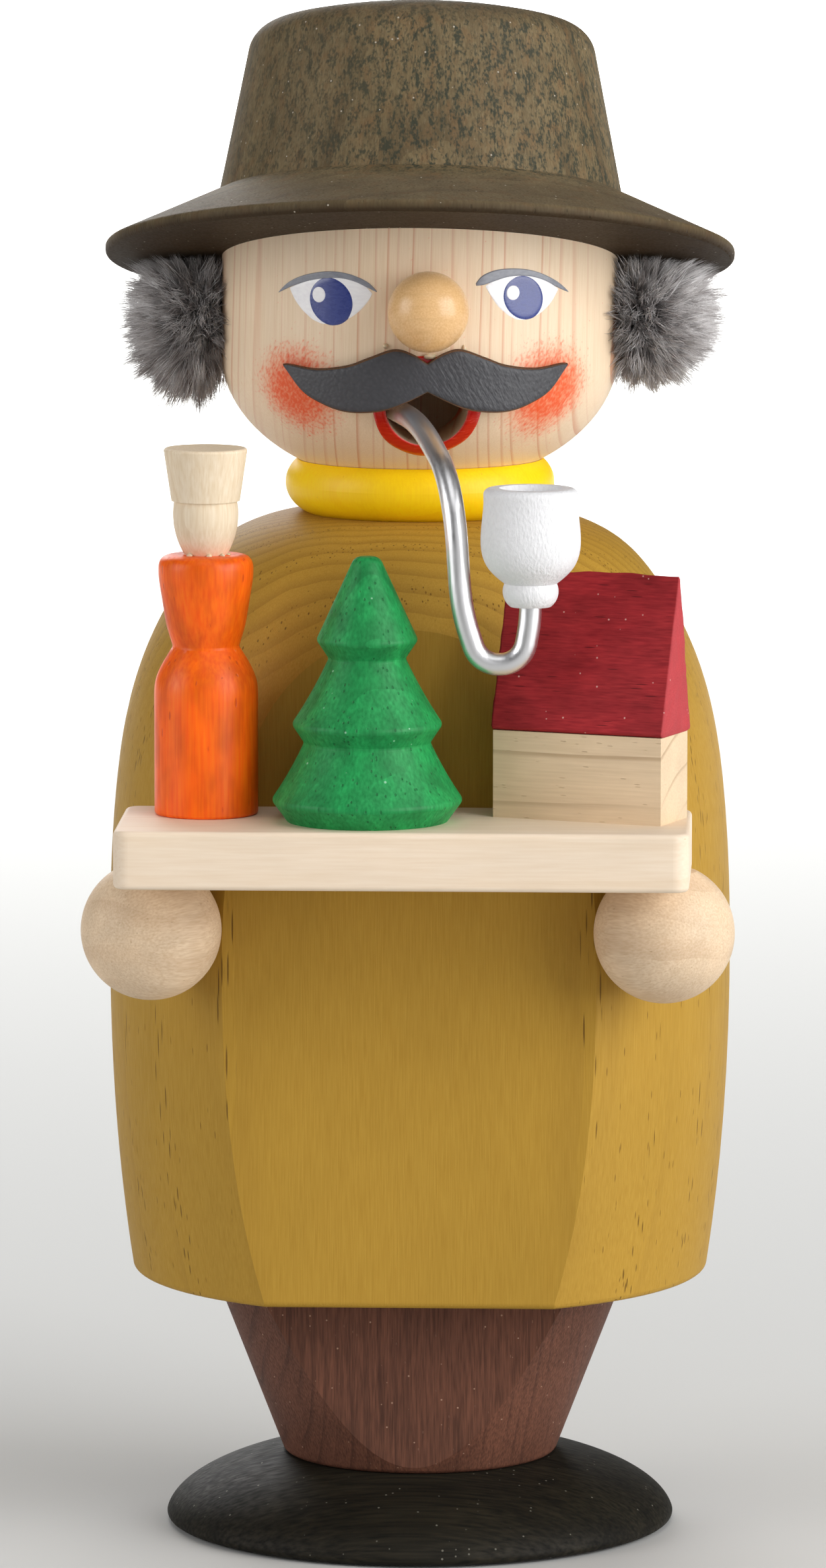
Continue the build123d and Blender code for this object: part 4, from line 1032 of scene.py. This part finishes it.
for bead_number, (bead_bearing, bead_size) in enumerate(((-40, 0.28), (12, 0.2), (48, 0.24), (80, 0.18))):
    bead_x = gown_place[0] * mm + neck_radius * sin(radians(bead_bearing))
    bead_y = gown_place[1] * mm - neck_radius * cos(radians(bead_bearing))
    bead_sizes = (1.2 * bead_size * mm, bead_size * mm, 0.9 * bead_size * mm)
    bead(f"neck_glue_{bead_number}", (bead_x, bead_y, neck_height + 0.02 * mm), bead_sizes, 50 + bead_number)


# Tree: lime, turned with three tiers and stained green, and glued on the tray.
# The stain is clouded and rubbed pale in places, with dark soaked pores and pale dust in them.
tree_stain = wood(
    "lime_green_stain",
    pale="#259a52",
    dark="#117d3e",
    ring_line="#0c642f",
    pore="#084d24",
    pith=(-14 * mm, -6 * mm, 0),
    ring=2.4 * mm,
    wander=3.0 * mm,
    line_share=0.5,
    line_strength=0.35,
    streak=(0.25 * mm, 1.8 * mm),
    patch=(1.6 * mm, 2.4 * mm),
    patch_strength=0.2,
    pores=(0.42 * mm, 0.9 * mm, 0.26, 0.5, 0.3, 0.5),
    pore_strength=0.55,
    gloss=(0.44, 0.56),
    relief=0.04 * mm,
)
dust(tree_stain, 0.7 * mm, 0.09, "#8fc7a2")
dress(tree_stain, "tree")


# House: a sawn beech block with a gable block glued on top, stained crimson. The gable block is left rough
# from the saw, so its slopes, ridge and ends wander by hundredths of a millimetre, and its ends are paler.
# The fibres run along the house, so its end wall shows speckled end grain.
house_turn = radians(-20.5)
wall_wood = wood(
    "sawn_beech",
    pale="#e9cfae",
    dark="#dfc4a2",
    ring_line="#aa8b69",
    pore="#c3a17b",
    pith=(15 * mm, -20 * mm, 58 * mm),
    turn=(radians(0), radians(90), house_turn),
    ring=3.6 * mm,
    wander=1.6 * mm,
    line_share=0.13,
    line_strength=0.55,
    streak=(0.2 * mm, 6 * mm),
    patch=(3 * mm, 8 * mm),
    patch_strength=0.05,
    pores=(0.22 * mm, 1.6 * mm, 0.2, 0.3, 0.15, 0.5),
    pore_strength=0.3,
    gloss=(0.55, 0.68),
    relief=0.04 * mm,
)
dress(wall_wood, "house_walls")
roof_stain = wood(
    "sawn_beech_crimson_stain",
    pale="#ab2d31",
    dark="#8d2027",
    ring_line="#7c1820",
    pore="#560d15",
    pith=(15 * mm, -10 * mm, 40 * mm),
    turn=(radians(0), radians(90), house_turn),
    ring=2.4 * mm,
    wander=1.6 * mm,
    line_share=0.5,
    line_strength=0.35,
    streak=(0.16 * mm, 1.6 * mm),
    patch=(1.8 * mm, 3.5 * mm),
    patch_strength=0.16,
    pores=(0.3 * mm, 3.6 * mm, 0.2, 0.5, 0.25, 0.5),
    pore_strength=0.7,
    gloss=(0.6, 0.75),
    relief=0.012 * mm,
    constants={"Specular IOR Level": 0.2},
)
walls_low, walls_high = (np.array(corner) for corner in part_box("house_walls"))
house_length = 16.0 * mm
house_depth = 6.4 * mm
roof_height = 14.2 * mm
roof_ridge_share = 0.64
roof_overhang = 0.25 * mm
roof_corner = np.array((walls_low[0], walls_low[1] - house_length * sin(house_turn), walls_high[2]))
roof_axes = plank_axes(roof_stain, tuple(roof_corner), (0, 0, house_turn))
roof_across = add_node(roof_stain, "ShaderNodeSeparateXYZ", {0: roof_axes})
end_face = {"Value": roof_across, "From Min": house_length, "From Max": house_length + 0.1 * mm}
sawn_end = add_node(roof_stain, "ShaderNodeMapRange", end_face | {"To Max": 0.5})
paint_over(roof_stain, sawn_end, "#d0565a")
dust(roof_stain, 0.5 * mm, 0.06, "#d8a29c")


def smooth_noise(random, places, cell):
    """Noise in one or two directions from -1 to 1: random values at every cell, and between them a blend
    that starts and ends level."""
    low = [np.floor(place / cell_size).astype(int) for place, cell_size in zip(places, cell)]
    part = [place / cell_size - start for place, cell_size, start in zip(places, cell, low)]
    table = random.uniform(-1, 1, [int(start.max() - start.min()) + 2 for start in low])
    first, second = (start - start.min() for start in low)
    u, v = (3 * share**2 - 2 * share**3 for share in part)
    near = table[first, second] * (1 - u) + table[first + 1, second] * u
    far = table[first, second + 1] * (1 - u) + table[first + 1, second + 1] * u
    return near * (1 - v) + far * v


roof_random = np.random.default_rng(71)
ridge_across = roof_ridge_share * house_depth
torn_depth = 0.014 * mm
worn_depth = 0.06 * mm
ridge_unevenness = 0.12 * mm
end_unevenness = 0.06 * mm
end_round = 0.2 * mm
roof_stations = 150

# The section runs up the front slope, down the back slope and back under the block, and each corner is the
# mean of itself and its neighbours. At the two ends it shrinks to a point, which closes the block.
slope_share = np.linspace(0, 1, 100)
front_slope = np.stack((-roof_overhang + (ridge_across + roof_overhang) * slope_share, slope_share), axis=-1)
back_end = house_depth + roof_overhang
back_slope = np.stack((ridge_across + (back_end - ridge_across) * slope_share, 1 - slope_share), axis=-1)
under_share = slope_share[::4]
underside = np.stack((back_end + (-roof_overhang - back_end) * under_share, 0 * under_share), axis=-1)
outline = np.concatenate((front_slope[1:-1], back_slope[1:-1], underside[1:-1]))
section = (np.roll(outline, 1, axis=0) + outline + np.roll(outline, -1, axis=0)) / 3
section_middle = np.array((ridge_across, 0.36))
end_shares = np.array((0, 0.3, 0.6, 0.85, 0.975))
roof_length = house_length + 2 * roof_overhang
between_ends = np.linspace(end_round, roof_length - end_round, roof_stations)
station_inset = np.concatenate((0 * end_shares, between_ends, roof_length + 0 * end_shares))
station_share = np.concatenate((end_shares, np.ones(roof_stations), end_shares[::-1]))
shrunk = section_middle + (section - section_middle) * station_share[:, None, None]
along = (station_inset - roof_overhang)[:, None] + 0 * shrunk[..., 0]
sloping = np.broadcast_to(np.linspace(0, 30 * mm, len(section))[None, :], along.shape)
torn = smooth_noise(roof_random, (along, sloping), (0.9 * mm, 0.34 * mm))
worn = smooth_noise(roof_random, (along, sloping), (3.1 * mm, 1.9 * mm))
ridge_wave = smooth_noise(roof_random, (along, 0 * along), (1.9 * mm, mm))
on_slope = np.clip(shrunk[..., 1] * 12, 0, 1)
bulge = (torn_depth * torn + worn_depth * worn) * on_slope * (station_share**8)[:, None]
facing_out = np.where(shrunk[..., 0] < ridge_across - 0.5 * (1 - shrunk[..., 1]) * mm, -1.0, 1.0)
roof_depth = shrunk[..., 0] + facing_out * bulge
roof_rise = shrunk[..., 1] * (roof_height + ridge_unevenness * ridge_wave)
end_places = (1000 * shrunk[..., 0], 14 * shrunk[..., 1])
end_waves = smooth_noise(roof_random, end_places, (0.7, 0.8)) * end_unevenness
at_end = (station_share < 1)[:, None] * np.sign(station_inset - house_length / 2)[:, None]
roof_along = along + at_end * (end_waves - end_unevenness)
roof_points = roof_corner + np.stack(
    (
        roof_along * cos(house_turn) - roof_depth * sin(house_turn),
        roof_along * sin(house_turn) + roof_depth * cos(house_turn),
        roof_rise,
    ),
    axis=-1,
)
roof_block = surface("roof_rough_sawn", roof_points, roof_stain, "figure", close_columns=True)
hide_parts("house_roof")


# Pipe: aluminium wire, drawn bright and bent by hand, with a turned bowl in thick white paint.
# The paint has raised the grain into fine upright wrinkles.
wire_metal = new_finish("drawn_aluminium", {"Metallic": 1.0, "Base Color": linear("#ececee")})
wire_axes = plank_axes(wire_metal, (0, 0, 0), (0, 0, 0))
wire_lines = drawn_noise(wire_metal, wire_axes, 0.12 * mm, 3.0 * mm)
wire_dull = {"Value": wire_lines, "From Min": 0.3, "From Max": 0.7, "To Min": 0.3, "To Max": 0.42}
feed(wire_metal, "Roughness", add_node(wire_metal, "ShaderNodeMapRange", wire_dull))
wire_scratch = {"Height": wire_lines, "Strength": 0.5, "Distance": 0.01 * mm}
feed(wire_metal, "Normal", add_node(wire_metal, "ShaderNodeBump", wire_scratch))
dress(wire_metal, "pipe_stem")
bowl_paint = new_finish("white_paint_on_beech", {"IOR": 1.5})
bowl_axes = plank_axes(bowl_paint, (0, 0, 0), (0, 0, 0))
bowl_wrinkles = drawn_noise(bowl_paint, bowl_axes, 0.24 * mm, 0.5 * mm, 3.0)
bowl_shade = {0: bowl_wrinkles, 6: linear("#e2e1e3"), 7: linear("#f3f3f4")}
feed(bowl_paint, "Base Color", add_node(bowl_paint, "ShaderNodeMix", bowl_shade, 2, data_type="RGBA"))
bowl_dull = {"Value": bowl_wrinkles, "To Min": 0.5, "To Max": 0.65}
feed(bowl_paint, "Roughness", add_node(bowl_paint, "ShaderNodeMapRange", bowl_dull))
bowl_bump = {"Height": bowl_wrinkles, "Strength": 1.0, "Distance": 0.12 * mm}
feed(bowl_paint, "Normal", add_node(bowl_paint, "ShaderNodeBump", bowl_bump))
dress(bowl_paint, "pipe_bowl")


# Studio: a wide pale floor that curves up far behind, large soft boxes and the photograph's camera.
# The floor is matt, so that it shows nothing of the object but a soft shadow.
def soft_box(name, place, target, size, power, spread=pi):
    """A square area light at a place, turned towards a target, whose light leaves it within the spread."""
    light = bpy.data.lights.new(name, "AREA")
    light.size = size
    light.energy = power
    light.spread = spread
    lamp = bpy.data.objects.new(name, light)
    bpy.context.scene.collection.objects.link(lamp)
    way = np.array(target) - np.array(place)
    lamp.location = place
    lamp.rotation_euler = Vector(way).to_track_quat("-Z", "Y").to_euler()


floor_paint = new_finish("pale_floor", {"Roughness": 0.9, "Base Color": linear("#cfcfcd")})
floor_reach = 6.0
floor_bend_start = 4.5
floor_radius = np.linspace(0, floor_reach, 40)[None, :]
floor_bearing = np.linspace(0, 2 * pi, 72, endpoint=False)[:, None]
floor_points = np.stack(
    (
        floor_radius * np.cos(floor_bearing),
        floor_radius * np.sin(floor_bearing),
        0.5 * np.clip(floor_radius - floor_bend_start, 0, None) ** 2 - 0.2 * mm + 0 * floor_bearing,
    ),
    axis=-1,
)
floor_mesh = bpy.data.meshes.new("floor")
floor = bpy.data.objects.new("floor", floor_mesh)
floor_index = np.arange(floor_bearing.size * floor_radius.size).reshape(floor_points.shape[:2])
near, far = floor_index, np.roll(floor_index, -1, axis=0)
floor_faces = np.stack((near[:, 1:], far[:, 1:], far[:, :-1], near[:, :-1]), axis=-1)
floor_mesh.from_pydata(floor_points.reshape(-1, 3).tolist(), [], floor_faces.reshape(-1, 4).tolist())
floor_mesh.materials.append(floor_paint)
bpy.context.scene.collection.objects.link(floor)

world = bpy.data.worlds.new("studio")
world.use_nodes = True
world.node_tree.nodes["Background"].inputs["Color"].default_value = (1, 1, 1, 1)
world.node_tree.nodes["Background"].inputs["Strength"].default_value = 0.07
bpy.context.scene.world = world
soft_box("key_box", (0.94, -0.52, 0.42), (0, 0, 0.08), 0.95, 15.2)
soft_box("fill_box", (-1.0, -0.4, 0.4), (0, 0, 0.08), 0.7, 5.5)
soft_box("top_box", (0.1, -0.45, 1.1), (0, 0, 0.08), 0.7, 2.0)
soft_box("front_box", (0.25, -1.25, 0.4), (0, 0, 0.08), 0.8, 1.1)
soft_box("back_box", (-0.35, 1.2, 0.55), (0, 0, 0.08), 0.6, 5.0)
soft_box("floor_box", (0, 2.6, 2.4), (0, 2.6, 0), 2.4, 180.0, radians(80))

camera_distance = 903.4 * mm
camera_elevation = radians(7.5)
camera_azimuth = radians(2.5)
aim_height = 68.35 * mm
aim_offset = -0.64 * mm
sight = np.array(
    (
        sin(camera_azimuth) * cos(camera_elevation),
        -cos(camera_azimuth) * cos(camera_elevation),
        sin(camera_elevation),
    )
)
aim = np.array((aim_offset * cos(camera_azimuth), aim_offset * sin(camera_azimuth), aim_height))
camera_data = bpy.data.cameras.new("photo_camera")
camera_data.sensor_width = 36.0
camera_data.lens = 225.76
camera_data.clip_start = 0.05
camera = bpy.data.objects.new("photo_camera", camera_data)
camera.location = aim + camera_distance * sight
camera.rotation_euler = Vector(-sight).to_track_quat("-Z", "Y").to_euler()
bpy.context.scene.collection.objects.link(camera)
bpy.context.scene.camera = camera
bpy.context.scene.view_settings.view_transform = "Standard"
